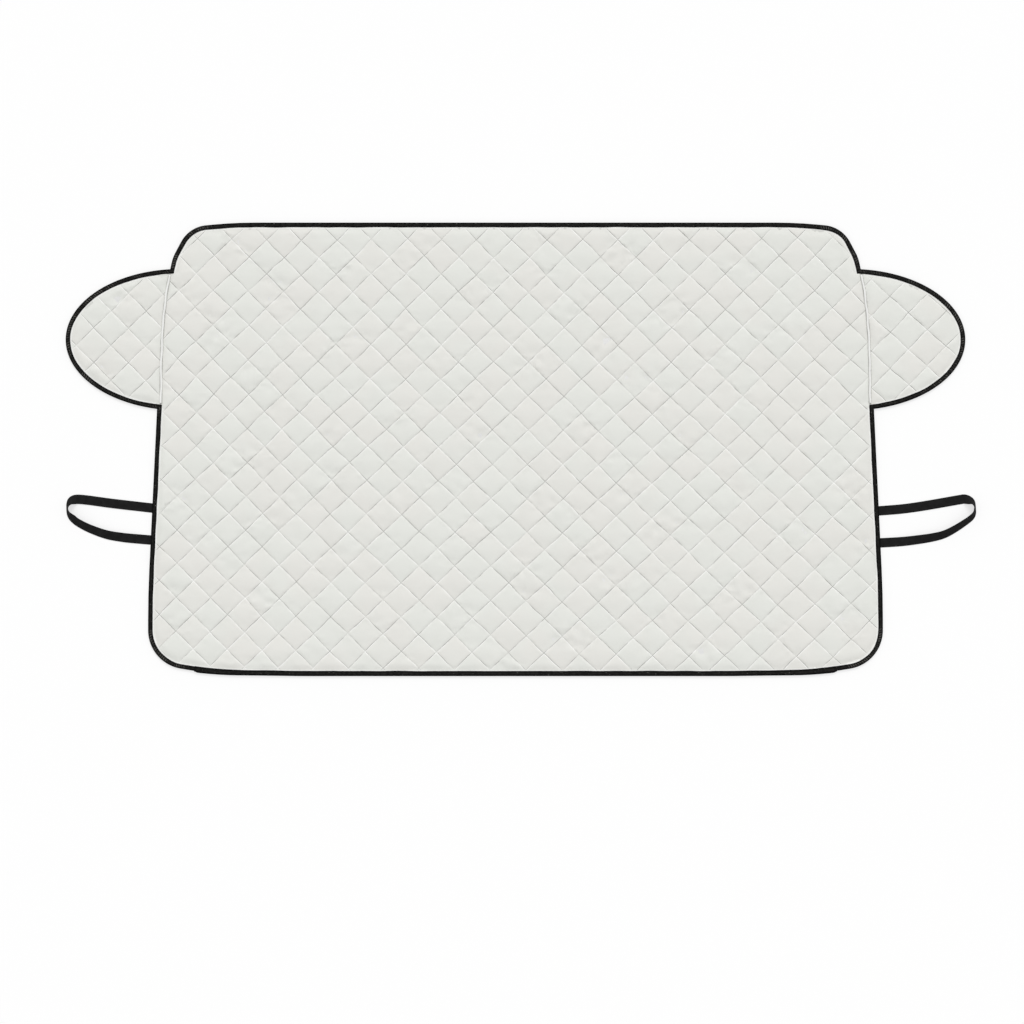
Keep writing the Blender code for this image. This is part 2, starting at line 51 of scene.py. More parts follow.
EAR_SPAN = 1.7980
EAR_REACH = 0.2288
EAR_HALF_HEIGHT = 0.1414
EAR_CENTRE_Y = 0.2190
UPPER_NOTCH_INSET = 0.0443
LOWER_NOTCH_INSET = 0.0179
SHOULDER_CORNERS = ((0.1723, 0.0, 0.880), (0.0819, 0.0086, 0.075), (0.0492, 0.0701, 0.205))
FLANK_CORNERS = ((0.0, 0.1617, 2.1), (0.0, 0.0253, 0.078), (0.1345, 0.0030, 0.66), (0.3060, 0.0, 2.0))
CORNER_SHARE = 0.49
ARC_STEP = math.radians(2.0)
EAR_STEPS = 110

# Layers, as heights over the floor
FABRIC_Z = 0.0041  # the outer fabric where it is sewn down
FABRIC_BACK_Z = 0.0035
WADDING_Z = 0.0032
WADDING_EDGE_Z = 0.0022
LINING_EDGE_Z = 0.0013
LINING = 0.0006
GAP = 0.0003
PUFF = 0.0034  # how far a diamond rises between its stitch lines
SHOULDER_SHARE = 0.42  # how much of that it rises at once, beside the stitches
SHOULDER_RUN = 0.0017
TENT = 0.0026  # how far the fabric's back rises there
UNEVEN_SIZE = 0.07  # how much the diamonds' rises differ
UNEVEN_PEAK = 0.10  # how far their peaks lie off the middle
SWELL = 0.00012  # the slow rise and fall over several diamonds
DIMPLE = 0.0004  # how far the stitches pull the lining up
DIMPLE_SHARE = 0.16

# Widths in plan
CUT_EDGE = 0.0013
BINDING_WIDTH = 0.0094
BOTTOM_BINDING_WIDTH = 0.0100
BOTTOM_BINDING_SPAN = 1.2840
BOTTOM_BINDING_PROUD = 0.0004
LAP_PROUD = 0.0026
LAP_POWER = 8
LAP_TUCK = 0.65  # the share of that which it loses over the lap's last millimetres
LAP_TUCK_RUN = 0.007
BUTTED = 0.00006  # the gap where the two tapes meet
JOGGLE = 0.0060
TAPE_MARGIN = 0.0105  # from the cut edge, and from a seam, to where the quilting starts to rise
SEAM_MARGIN = 0.0030
TAPE_EASE = 0.010
SEAM_EASE = 0.007
PRESSED_MARGIN = 0.0087  # from the cut edge to the pale strip beside the tape
SEAM_LOWER_INSET = 0.0066
SEAM_POWER = 3
TAPE_END = 0.0100  # the ear's tape lies over the seam up to here
PIPING_WIDTH = 0.0040
PIPING_HEIGHT = 0.0024
PIPING_Z = 0.00435

# Sewing
TAKE_UP = 1.015  # how much larger the cloth is cut than the quilted panel
THREAD = 0.00028
STITCH_STEP = 0.0041
STITCH_LENGTH = 0.0031
STITCH_LIFT = 0.00022
STITCH_FROM_TAPE = 0.0110  # how near the stitch lines' thread comes to the cut edge, and to a seam
STITCH_FROM_SEAM = 0.0045
TAPE_THREAD = 0.00025
TAPE_STITCH_STEP = 0.0034
TAPE_STITCH_LENGTH = 0.0027
TAPE_STITCH_INSET = 0.0018
TAPE_STITCH_Z = 0.00520

# How far the main panel's sewing has crept, in millimetres: rows from the bottom edge up, columns left to right
CREEP_COLUMNS = (-0.66, 0.66)
CREEP_ROWS = (-0.40, 0.40)
CREEP_ACROSS = (
    (2.5, 2.2, 0.8, -0.2, 0.2, 0.2, 0.1, -0.8, -0.6, -0.6, -2.8, -1.2),
    (2.4, 1.9, 1.1, -0.8, 0.8, 0.3, 1, 0.3, 0.5, -0.6, -2.2, -0.2),
    (2, 0.8, -0.7, -1.6, 0.1, 0, 0.6, 0.6, -0.3, -1, -0.8, 0.1),
    (0.4, 1.7, -2.3, -2.2, -0.1, 0, -0.1, -1.3, -2, -0.5, 0.4, -0.2),
    (2.4, 1, -0.5, -0.3, 0, 0.8, 0.2, -2.4, -2.7, 1.2, -0.6, 0.2),
    (0.1, 1, 0.4, 1.3, 1, 0.2, 0, -2.1, -2.8, -0.2, -2.4, -0.8),
    (-5.6, -0.4, 1, 1.7, 1.9, 0.5, -0.7, -1.2, -1.4, -2.2, -3.1, -3),
    (-5.9, -2.5, -0.9, 0.1, 0.3, -0.8, -1.9, -0.7, -1, -1.6, -2.9, -2.4),
    (-3.9, -1, 0.5, 2.4, 2.3, 0, -0.1, -0.1, -1.6, 0.2, -0.1, -0.3),
)
CREEP_UP = (
    (1.5, 0.2, -1.6, 0.5, 0.9, 1.8, 1.6, 2.1, 0.3, 1, 0.1, -1),
    (2.1, 1, -0.7, 0.4, 1.4, 3, 2.3, 1.8, 1.1, -0.9, -0.2, 0.2),
    (1.8, 1.4, 0.6, 0.2, 1.9, 3.1, 2.2, 1.8, 0.5, -0.3, 0.2, 1.5),
    (2, 1, 0.5, 1.2, 1.1, 1.3, 2.4, 1.8, -0.4, -0.1, 1.2, 0.1),
    (1, 1.5, 0.3, 1.6, 1.4, 1.5, 2, 1.6, -0.6, 1.4, 1, 0.6),
    (1.8, 1.8, 0.6, -0.1, 0.2, 1.8, 1.7, 0.4, -0.1, 1.2, 3.2, 2.1),
    (6.8, 3.8, 0.1, -0.2, -1, 0.8, 0.3, -0.2, 0.5, 1.5, 3.9, 1.1),
    (6.4, 4.6, 1.1, 1.9, 4, 1, 0.3, 2.7, 0.3, 1, 2.9, -1.1),
    (6.4, 2.8, 0.2, 2, 3.2, 0.4, 1.4, 1.3, -0.4, 0.3, 0.2, -1.1),
)

# Quilting: a diamond's width and height, one crossing, and the drift of its two sets of stitch lines. A drift
# term is (power of x, power of y, millimetres): x and y count from the middle, over the reach given with them.
MAIN_QUILTING = {
    "diamond": (0.0707, 0.0684),
    "crossing": -0.0070 + 0.4162j,
    "middle": 0j,
    "reach": (0.700, 0.450),
    "falling": ((0, 0, 6.0), (0, 1, -4.6), (0, 2, -1.8), (1, 1, -1.4), (2, 0, -9.6)),
    "rising": ((1, 0, 9.0), (0, 1, 4.6), (2, 0, 5.6), (1, 1, -8.4), (0, 2, -1.8), (3, 0, -8.4), (0, 3, -4.8)),
    "creep": (CREEP_ACROSS, CREEP_UP),
}
LEFT_EAR_QUILTING = {
    "diamond": (0.0707, 0.0696),
    "crossing": -0.8078 + 0.2777j,
    "middle": -0.8078 + 0.2777j,
    "reach": (0.100, 0.100),
    "falling": ((0, 0, 0.9), (1, 0, 2.3), (0, 1, -0.4)),
    "rising": ((0, 0, 1.2), (1, 0, -0.6), (0, 1, 0.8)),
}
RIGHT_EAR_QUILTING = {
    "diamond": (0.0707, 0.0696),
    "crossing": 0.7861 + 0.2706j,
    "middle": 0.7866 + 0.2689j,
    "reach": (0.100, 0.100),
    "falling": ((0, 0, -0.4), (1, 0, -8.5), (0, 1, -2.4)),
    "rising": ((0, 0, -1.1), (1, 0, -1.0), (0, 1, -2.1)),
}
WAVER = 0.00055  # how far the sewing wavers off its line

# Nets: the step along an outline, lattice points at these shares of each diamond, and how far inside they stay
RING_STEP = 0.0025
FINE_LINES = (0.0, 0.02, 0.055, 0.12, 0.21, 0.33, 0.44, 0.56, 0.67, 0.79, 0.88, 0.945, 0.98)
LINING_LINES = (0.0, 0.05, 0.20, 0.5, 0.80, 0.95)
CREASE_LINES = (0.0, 0.5)
FABRIC_CLEARANCE = 0.0014
BACK_CLEARANCE = 0.0060
LINING_CLEARANCE = 0.0030

# Webbing loops: points on the middle line, as reach from the panel's edge and place along Y
WEBBING_WIDTH = 0.0190
WEBBING = 0.0010
SEWN_LENGTH = 0.0088
LEFT_LOOP = (
    (0.0000, -0.1176), (0.0361, -0.1135), (0.0841, -0.1079), (0.1321, -0.1015), (0.1529, -0.1002),
    (0.1631, -0.1036), (0.1676, -0.1104), (0.1687, -0.1172), (0.1673, -0.1252), (0.1636, -0.1318),
    (0.1573, -0.1382), (0.1466, -0.1466), (0.1220, -0.1589), (0.0895, -0.1704), (0.0570, -0.1762),
    (0.0250, -0.1794), (0.0000, -0.1815),
)
RIGHT_LOOP = (
    (0.0000, -0.1232), (0.0437, -0.1197), (0.0757, -0.1156), (0.1079, -0.1104), (0.1401, -0.1048),
    (0.1643, -0.1006), (0.1740, -0.0998), (0.1867, -0.1044), (0.1908, -0.1122), (0.1910, -0.1192),
    (0.1899, -0.1268), (0.1857, -0.1340), (0.1765, -0.1420), (0.1540, -0.1566), (0.1297, -0.1693),
    (0.1053, -0.1760), (0.0731, -0.1810), (0.0409, -0.1847), (0.0000, -0.1872),
)
STEEPEST = math.radians(70)  # how far the webbing rolls on its edge at the far turn
TWIST_RUN = 0.032
UNTWIST_RUN = 0.024
LEFT_LEAN = math.radians(40)
RIGHT_LEAN = math.radians(52)
WEBBING_LIFT = 0.00058  # how far a sewn end lifts the tape's lower leg
FREE_LIFT = 0.0003  # how far the webbing's free part rises and falls
FREE_FROM = 0.02
FREE_RUN = 0.03
PRESSED_RUN = 0.006  # how far past a sewn end the webbing is thinner

# The photograph's view: straight down, this point of the floor in its middle
VIEW_CENTRE = (-0.0070, -0.1254)
VIEW_WIDTH = 2.048
CAMERA_HEIGHT = 4.5
SENSOR_WIDTH = 36.0

WHITE = (1.0, 1.0, 1.0)
SKY_STRENGTH = 0.705
KEY_HEADING = (0.08, 0.80, 0.80)
KEY_STRENGTH = 1.34
KEY_SPREAD = math.radians(26.0)
FLOOR_GLOW = 0.65  # the share of the floor that the camera sees as plain white
FLOOR_REACH = 6.0
FLOOR_Z = -0.0004

SEED = 11
TAPE_SEED = 40
PIPING_SEED = 70
WEBBING_SEED = 90
LOTS = (97, 89)  # the size of the tables of random numbers that the diamonds draw from

# Crinkles: a small quilt sewn on a square grid, that a cloth simulation fills with air
PATCH_CELLS = 5
PATCH_STEPS = 26
PATCH_FRAMES = 20
PATCH_RISE = 0.0005
PATCH_ROUGH = 0.00018
GATHERED = 0.020
CLOTH = {
    "vertex_group_mass": "sewn", "quality": 6, "mass": 0.00003, "tension_stiffness": 15,
    "compression_stiffness": 15, "shear_stiffness": 5, "bending_stiffness": 0.1, "shrink_min": -GATHERED,
    "shrink_max": -GATHERED, "use_pressure": True, "uniform_pressure_force": 3.0,
}
CRINKLE = 0.85  # how much of the simulated crinkling the cover shows
CALMEST = 0.5  # the share of it where the cloth was handled least


# Outlines in plan


def rounded(corners):
    """An open chain through (point, radius) corners, each rounded as far as its sides allow."""
    chain = [corners[0][0]]
    for (before, _), (corner, radius), (after, _) in zip(corners, corners[1:], corners[2:]):
        back = before - corner
        ahead = after - corner
        turn = cmath.phase(-ahead / back)
        most = CORNER_SHARE * min(abs(back), abs(ahead))
        tangent = min(radius * math.tan(abs(turn) / 2), most)
        start = corner + tangent * back / abs(back)
        spoke = 1j * (back / abs(back)) * math.copysign(tangent / math.tan(abs(turn) / 2), turn)
        steps = max(2, math.ceil(abs(turn) / ARC_STEP))
        chain += [start - spoke + spoke * cmath.exp(1j * turn * step / steps) for step in range(steps + 1)]
    chain.append(corners[-1][0])
    return chain


def ear_angle(x):
    return math.acos((x - EAR_SPAN / 2 + EAR_REACH) / EAR_REACH)


def on_ear(angle):
    x = EAR_SPAN / 2 - EAR_REACH + EAR_REACH * math.cos(angle)
    return complex(x, EAR_CENTRE_Y + EAR_HALF_HEIGHT * math.sin(angle))


def right_half():
    """The finished edge from the bottom's middle round the right side to the top's, in three stretches."""
    side = PANEL_WIDTH / 2
    lowest = -ear_angle(side - LOWER_NOTCH_INSET)
    highest = ear_angle(side - UPPER_NOTCH_INSET)
    ear = [on_ear(angle) for angle in np.linspace(lowest, highest, EAR_STEPS + 1)]
    bottom = -PANEL_HEIGHT / 2
    top = PANEL_HEIGHT / 2
    flank = [(complex(side - inset, bottom + up), radius) for inset, up, radius in reversed(FLANK_CORNERS)]
    shoulder = [(complex(side - inset, top - down), radius)
                for inset, down, radius in reversed(SHOULDER_CORNERS)]
    flank = rounded([(complex(0.0, bottom), 0.0), *flank, (ear[0], 0.0)])
    shoulder = rounded([(ear[-1], 0.0), *shoulder, (complex(0.0, top), 0.0)])
    return flank, ear, shoulder


def mirrored(points):
    return [complex(-point.real, point.imag) for point in reversed(points)]


def mitre(before, after):
    """The step inwards (to the left) per metre of distance, between the headings before and after a point."""
    first = 1j * before / abs(before)
    second = 1j * after / abs(after)
    return (first + second) / (1 + (first * second.conjugate()).real)


def mitres(path):
    """The step inwards at each point of an open path."""
    ahead = np.diff(path)
    return mitre(np.concatenate([ahead[:1], ahead]), np.concatenate([ahead, ahead[-1:]]))


def inset_loop(loop, distance):
    """A closed outline moved inwards."""
    loop = np.asarray(loop)
    return loop + distance * mitre(loop - np.roll(loop, 1), np.roll(loop, -1) - loop)


def distance_run(path):
    return np.concatenate([[0.0], np.cumsum(abs(np.diff(path)))])


def resampled(chain, step, closed=False):
    """Points on the chain about a step apart, sharp corners kept."""
    chain = np.asarray(list(chain) + ([chain[0]] if closed else []))
    kept = [0]
    for i in range(1, len(chain) - 1):
        turn = abs(cmath.phase((chain[i + 1] - chain[i]) / (chain[i] - chain[i - 1])))
        if turn > 0.3:
            kept.append(i)
    kept.append(len(chain) - 1)
    points = []
    for first, last in zip(kept, kept[1:]):
        piece = chain[first:last + 1]
        travelled = distance_run(piece)
        count = max(1, round(travelled[-1] / step))
        wanted = np.linspace(0.0, travelled[-1], count + 1)[:-1]
        points += list(np.interp(wanted, travelled, piece.real) + 1j * np.interp(wanted, travelled, piece.imag))
    return points if closed else points + [chain[-1]]


def distance_to(points, chain, closed=False):
    """How far each point lies from a chain of points."""
    start = np.asarray(chain if closed else chain[:-1])
    end = np.roll(start, -1) if closed else np.asarray(chain[1:])
    nearest = np.full(len(points), np.inf)
    for a, b in zip(start, end):
        along = (points - a) * (b - a).conjugate()
        share = np.clip(along.real / abs(b - a) ** 2, 0.0, 1.0)
        nearest = np.minimum(nearest, abs(points - a - share * (b - a)))
    return nearest


def inside(points, loop):
    """Which points lie inside a closed outline."""
    loop = np.asarray(loop)
    odd = np.zeros(len(points), bool)
    for a, b in zip(loop, np.roll(loop, -1)):
        if a.imag == b.imag:
            continue
        spans = (a.imag > points.imag) != (b.imag > points.imag)
        crossing = a.real + (points.imag - a.imag) * (b.real - a.real) / (b.imag - a.imag)
        odd ^= spans & (points.real < crossing)
    return odd


def smooth_step(share):
    share = np.clip(share, 0.0, 1.0)
    return share * share * (3 - 2 * share)


class Outline:
    """The finished edge and the two seams, and how each panel is cut from them."""

    def __init__(self):
        flank, ear, shoulder = right_half()
        half = flank + ear[1:] + shoulder[1:]
        self.flank = flank
        self.edge = half[:-1] + mirrored(half)[:-1]
        cut = list(inset_loop(self.edge, CUT_EDGE))
        low = len(flank) - 1
        high = low + len(ear) - 1
        count = 2 * (len(half) - 1)
        left_high = count - high
        left_low = count - low
        right = self.right_seam = self.seam(cut[low], cut[high])
        left = self.left_seam = self.seam(cut[left_low], cut[left_high])
        hair = GAP / 2
        self.main = cut[:low + 1] + [point - hair for point in right] + cut[high:left_high + 1]
        self.main += [point + hair for point in reversed(left)] + cut[left_low:]
        self.right_ear = cut[low:high + 1] + [point + hair for point in reversed(right)]
        self.left_ear = cut[left_high:left_low + 1] + [point - hair for point in left]

    def seam(self, low, high):
        """A seam from its lower notch to its upper one, between the tapes. It leans in late."""
        x = low.real - math.copysign(SEAM_LOWER_INSET, low.real)
        length = high.imag - low.imag
        reaches = np.linspace(TAPE_END, length - TAPE_END, 80)
        return [complex(x + (high.real - x) * (reach / length) ** SEAM_POWER, low.imag + reach)
                for reach in reaches]

    def flank_x(self, y):
        """How far out the finished edge is at this height of the lower side."""
        return float(np.interp(y, [point.imag for point in self.flank], [point.real for point in self.flank]))


# Quilting


def crept(points, tables):
    """How far the sewing has crept at these points, smoothly between the tables' measured places."""
    across, up = (np.asarray(table) / 1000 for table in tables)
    table = np.pad(across + 1j * up, 2, mode="edge")
    places = []
    for value, (first, last), count in (
            (points.imag, CREEP_ROWS, len(up)), (points.real, CREEP_COLUMNS, len(up[0]))):
        share = np.clip((value - first) / (last - first) * (count - 1), -0.999, count - 0.001)
        whole = np.floor(share).astype(int)
        t = share - whole
        weights = (-t + 2 * t**2 - t**3, 2 - 5 * t**2 + 3 * t**3, t + 4 * t**2 - 3 * t**3, t**3 - t**2)
        places.append((whole + 1, [weight / 2 for weight in weights]))
    (row, row_weights), (column, column_weights) = places
    total = np.zeros(len(points), complex)
    for i, row_weight in enumerate(row_weights):
        for j, column_weight in enumerate(column_weights):
            total += row_weight * column_weight * table[row + i, column + j]
    return total


def pitch_of(diamond):
    """The distance between the stitch lines on either side of a diamond of this width and height."""
    width, height = diamond
    return 1 / math.hypot(1 / width, 1 / height)


class Quilting:
    """Where one panel's stitch lines run: at the whole numbers of two coordinates, falling and rising."""

    def __init__(self, source, diamond, crossing, middle, reach, falling, rising, creep=None):
        self.width, self.height = diamond
        self.crossing = crossing
        self.creep = creep
        self.wobble = [(Ripples(source, 0.085), Ripples(source, 0.030)) for _ in range(2)]
        self.middle = middle
        self.reach = reach
        self.falling = falling
        self.rising = rising
        self.pitch = pitch_of(diamond)

    def drift(self, points, terms):
        x = (points.real - self.middle.real) / self.reach[0]
        y = (points.imag - self.middle.imag) / self.reach[1]
        return sum(size / 1000 * x**across * y**up for across, up, size in terms) / self.pitch

    def coordinates(self, points):
        """Which falling and which rising line each point is on."""
        if self.creep:
            points = points - crept(points, self.creep)
        across = (points.real - self.crossing.real) / self.width
        up = (points.imag - self.crossing.imag) / self.height
        falling = across + up + self.drift(points, self.falling) + self.unsteady(points, 0)
        rising = across - up - self.drift(points, self.rising) + self.unsteady(points, 1)
        return falling, rising

    def unsteady(self, points, way):
        """The sewing's small waverings."""
        long, short = self.wobble[way]
        return (WAVER * long.at(points) + 0.35 * WAVER * short.at(points)) / self.pitch

    def points(self, falling, rising):
        """The points in plan that have these coordinates."""
        aim = self.straight(falling, rising)
        found = aim
        for _ in range(6):
            now = self.coordinates(found)
            found = found + aim - self.straight(*now)
        return found

    def straight(self, falling, rising):
        across = (falling + rising) / 2 * self.width
        up = (falling - rising) / 2 * self.height
        return self.crossing + across + 1j * up


class Ripples:
    """A smooth random field: waves of about one length, in all directions."""

    def __init__(self, source, length, waves=14):
        heading = source.uniform(0, 2 * math.pi, waves)
        number = 2 * math.pi / (length * source.uniform(0.7, 1.5, waves))
        self.kx = number * np.cos(heading)
        self.ky = number * np.sin(heading)
        self.phase = source.uniform(0, 2 * math.pi, waves)
        self.scale = math.sqrt(2 / waves)

    def at(self, points):
        total = np.zeros(len(points))
        for kx, ky, phase in zip(self.kx, self.ky, self.phase):
            total += np.sin(kx * points.real + ky * points.imag + phase)
        return total * self.scale


def triangulated(outline, loose):
    """A flat net over an outline and loose points inside it: its places, the outline's first, and its faces."""
    points = np.concatenate([np.asarray(outline), loose]) * 1000
    coordinates = [(point.real, point.imag) for point in points]
    ring = list(range(len(outline)))
    edges = list(zip(ring, ring[1:] + ring[:1]))
    made = geometry.delaunay_2d_cdt(coordinates, edges, [], 1, 1e-5)
    plan = np.array([complex(*place) for place in made[0]]) / 1000
    return plan, [list(triangle) for triangle in made[2]]


def linked(name, data):
    """A new object in the scene."""
    thing = bpy.data.objects.new(name, data)
    bpy.context.scene.collection.objects.link(thing)
    return thing


def new_piece(name, points, faces, finish):
    mesh = bpy.data.meshes.new(name)
    mesh.from_pydata(points, [], faces)
    mesh.validate()
    mesh.update()
    mesh.shade_smooth()
    mesh.materials.append(finish)
    return linked(name, mesh)


def note(mesh, name, values):
    """Give each point of a mesh a value that a finish can use."""
    attribute = mesh.attributes.new(name, "FLOAT", "POINT")
    attribute.data.foreach_set("value", values.astype(np.float32))


# Crinkles


def crinkled_patch():
    """How the cloth of a few sewn squares crinkles, square by square, as heights over a plain pillow."""
    side = pitch_of(MAIN_QUILTING["diamond"])
    count = PATCH_CELLS * PATCH_STEPS + 1
    axis = np.arange(count) * side / PATCH_STEPS
    x, y = np.meshgrid(axis, axis, indexing="ij")
    sewn = np.arange(count) % PATCH_STEPS == 0
    sewn = sewn[:, None] | sewn[None, :]
    z = np.random.default_rng(SEED).normal(0.0, 1.0, x.shape)
    for _ in range(4):
        z = (z + np.roll(z, 1, 0) + np.roll(z, -1, 0) + np.roll(z, 1, 1) + np.roll(z, -1, 1)) / 5
    z = np.where(sewn, 0.0, z / z.std() * PATCH_ROUGH + PATCH_RISE)
    index = np.arange(count * count).reshape(count, count)
    faces = np.stack([index[:-1, :-1], index[1:, :-1], index[1:, 1:], index[:-1, 1:]], axis=-1)
    mesh = bpy.data.meshes.new("patch")
    mesh.from_pydata(np.stack([x, y, z], axis=-1).reshape(-1, 3).tolist(), [], faces.reshape(-1, 4).tolist())
    patch = linked("patch", mesh)
    scene = bpy.context.scene
    group = patch.vertex_groups.new(name="sewn")
    group.add(np.flatnonzero(sewn.ravel()).tolist(), 1.0, "REPLACE")
    cloth = patch.modifiers.new("cloth", "CLOTH")
    for setting, value in CLOTH.items():
        setattr(cloth.settings, setting, value)
    cloth.settings.effector_weights.gravity = 0.0
    cloth.collision_settings.use_collision = False
    cloth.point_cache.frame_start = 1
    cloth.point_cache.frame_end = PATCH_FRAMES
    for frame_number in range(1, PATCH_FRAMES + 1):
        scene.frame_set(frame_number)
    filled = patch.evaluated_get(bpy.context.evaluated_depsgraph_get())
    places = np.empty(count * count * 3)
    filled.data.vertices.foreach_get("co", places)
    height = places.reshape(count, count, 3)[:, :, 2]
    scene.frame_set(1)
    bpy.data.objects.remove(patch)
    bpy.data.meshes.remove(mesh)
    inner = range(1, PATCH_CELLS - 1)
    spans = [slice(i * PATCH_STEPS, (i + 1) * PATCH_STEPS + 1) for i in inner]
    squares = np.array([height[across, up] for across in spans for up in spans])
    plain = squares.mean(axis=0)
    plain = (plain + plain[::-1]) / 2
    plain = (plain + plain[:, ::-1]) / 2
    return squares - (plain + plain.T) / 2


# Panels: three cut shapes, each with fabric, wadding and lining


def drawn(table, diamond):
    """What these diamonds have drawn from a table of random numbers."""
    column, row = diamond
    return table[..., column % LOTS[0], row % LOTS[1]]


class Panel:
    """One cut panel: its outline, its seams and its quilting."""

    def __init__(self, name, outline, seams, quilting, crinkles):
        self.name = name
        self.outline = list(outline)
        self.seams = seams
        self.source = np.random.default_rng([SEED, len(name)])
        self.quilting = Quilting(self.source, **quilting)
        self.ring = resampled(outline, RING_STEP, closed=True)
        self.crinkles = crinkles
        self.choice = self.source.integers(0, 8 * len(crinkles), LOTS)
        self.swell = Ripples(self.source, 0.30)
        self.sizes = self.source.normal(0.0, 1.0, LOTS)
        self.peaks = self.source.uniform(-1.0, 1.0, (2, *LOTS))
        self.handled = Ripples(self.source, 0.11)

    def reaches(self):
        """The first and last stitch line over the panel, of the falling and of the rising ones."""
        sets = self.quilting.coordinates(np.asarray(self.outline))
        return [(math.floor(lines.min()), math.ceil(lines.max())) for lines in sets]

    def net(self, lines, clearance):
        """A flat net with lattice points at these shares of each diamond, this far inside the outline."""
        counts = [(np.arange(*reach)[:, None] + lines).ravel() for reach in self.reaches()]
        falling, rising = np.meshgrid(*counts, indexing="ij")
        points = self.quilting.points(falling.ravel(), rising.ravel())
        points = points[inside(points, self.outline)]
        return triangulated(self.ring, points[distance_to(points, self.outline, closed=True) > clearance])

    def from_edges(self, points):
        """How far points lie from the cut edge under the tape, and from the nearest seam."""
        seam = np.min([distance_to(points, chain) for chain in self.seams], axis=0)
        whole = distance_to(points, self.outline, closed=True)
        return np.where(whole < seam - 2 * GAP, whole, 1.0), seam

    def diamonds(self, points):
        """Each point's diamond, by column and row, and its shares of the way across it."""
        falling, rising = self.quilting.coordinates(points)
        column, row = np.floor(falling), np.floor(rising)
        return (column.astype(int), row.astype(int)), falling - column, rising - row

    def puff(self, points):
        """How far the quilting has risen over its stitch lines, from 0 to about 1."""
        diamond, falling, rising = self.diamonds(points)
        size = 1.0 + UNEVEN_SIZE * drawn(self.sizes, diamond)
        lean_one, lean_two = UNEVEN_PEAK * drawn(self.peaks, diamond)
        one = falling + lean_one * falling * (1 - falling)
        two = rising + lean_two * rising * (1 - rising)
        bowl = np.clip(16 * one * (1 - one) * two * (1 - two), 0.0, 1.0)
        side = self.quilting.pitch / SHOULDER_RUN
        beside = [1 - np.exp(-side * np.minimum(share, 1 - share)) for share in (one, two)]
        rise = SHOULDER_SHARE * (beside[0] * beside[1]) + (1 - SHOULDER_SHARE) * bowl
        return self.free(points) * size * rise

    def free(self, points):
        """How free the layers are to rise, from 0 where a tape or seam presses them down to 1."""
        tape, seam = self.from_edges(points)
        from_tape = smooth_step((tape - TAPE_MARGIN) / TAPE_EASE)
        return np.minimum(from_tape, smooth_step((seam - SEAM_MARGIN) / SEAM_EASE))

    def down(self, points):
        """How far the layers have come down from over the tape's lower leg to the floor."""
        tape, _ = self.from_edges(points)
        return smooth_step((tape - BOTTOM_BINDING_WIDTH + CUT_EDGE) / JOGGLE)

    def crinkled(self, points):
        """The crinkles, in metres: each diamond shows one of the simulated patch's, turned its own way."""
        diamond, one, two = self.diamonds(points)
        choice = drawn(self.choice, diamond)
        one = np.where(choice & 1, 1 - one, one)
        two = np.where(choice & 2, 1 - two, two)
        one, two = np.where(choice & 4, two, one), np.where(choice & 4, one, two)
        steps = self.crinkles.shape[1] - 1
        across, up = (np.clip(share * steps, 0, steps - 1e-6) for share in (one, two))
        i, j = across.astype(int), up.astype(int)
        a, b = across - i, up - j
        heights, which = self.crinkles, choice // 8
        near, far = (heights[which, i, j + k] * (1 - a) + heights[which, i + 1, j + k] * a for k in (0, 1))
        return (near * (1 - b) + far * b) * self.free(points)

    def cut_size(self):
        """The flat size and area the cloth was cut to: the quilting takes up a little of it."""
        loop = np.asarray(self.outline)
        area = abs((loop.conjugate() * np.roll(loop, -1)).imag.sum()) / 2
        return (np.ptp(loop.real) * TAKE_UP, np.ptp(loop.imag) * TAKE_UP), area * TAKE_UP**2

    def fabric(self, finish):
        """The outer fabric, a closed skin: quilted above, a plainer back."""
        ring = len(self.ring)
        plan, faces = self.net(FINE_LINES, FABRIC_CLEARANCE)
        puff = self.puff(plan)
        rough = CRINKLE * (CALMEST + np.clip(self.handled.at(plan), 0.0, 2.0))
        top = FABRIC_Z + PUFF * puff + rough * self.crinkled(plan) + self.swell.at(plan) * puff * SWELL
        top[:ring] = FABRIC_Z
        back, back_faces = self.net(CREASE_LINES, BACK_CLEARANCE)
        below = FABRIC_BACK_Z + TENT * np.clip(self.puff(back), 0.0, 1.0) ** 2
        below[:ring] = FABRIC_BACK_Z
        piece = closed_skin(self.name + "_fabric", (plan, top, faces), (back, below, back_faces), ring, finish)
        self.map_quilting(piece.data)
        return piece

    def wadding(self, finish):
        """The wadding, risen under the fabric and drawn in at its edge over the tape's lower leg."""
        ring = len(self.ring)
        plan, faces = self.net(LINING_LINES, BACK_CLEARANCE)
        top = WADDING_Z + TENT * np.clip(self.puff(plan), 0.0, 1.0) ** 2
        top[:ring] = WADDING_Z
        low = WADDING_EDGE_Z - (WADDING_EDGE_Z - LINING - GAP) * self.down(plan)
        return closed_skin(self.name + "_wadding", (plan, top, faces), (plan, low, faces), ring, finish)

    def lining(self, finish):
        """The plain backing, dimpled where the stitches pull it up."""
        plan, faces = self.net(LINING_LINES, LINING_CLEARANCE)
        down = self.down(plan)
        rest = LINING_EDGE_Z * (1 - down)
        _, falling, rising = self.diamonds(plan)
        line = np.min([falling, 1 - falling, rising, 1 - rising], axis=0)
        low = rest + DIMPLE * (1 - smooth_step(line / DIMPLE_SHARE)) * down
        upper, lower = (plan, rest + LINING, faces), (plan, low, faces)
        piece = closed_skin(self.name + "_backing", upper, lower, len(self.ring), finish)
        self.map_quilting(piece.data)
        return piece

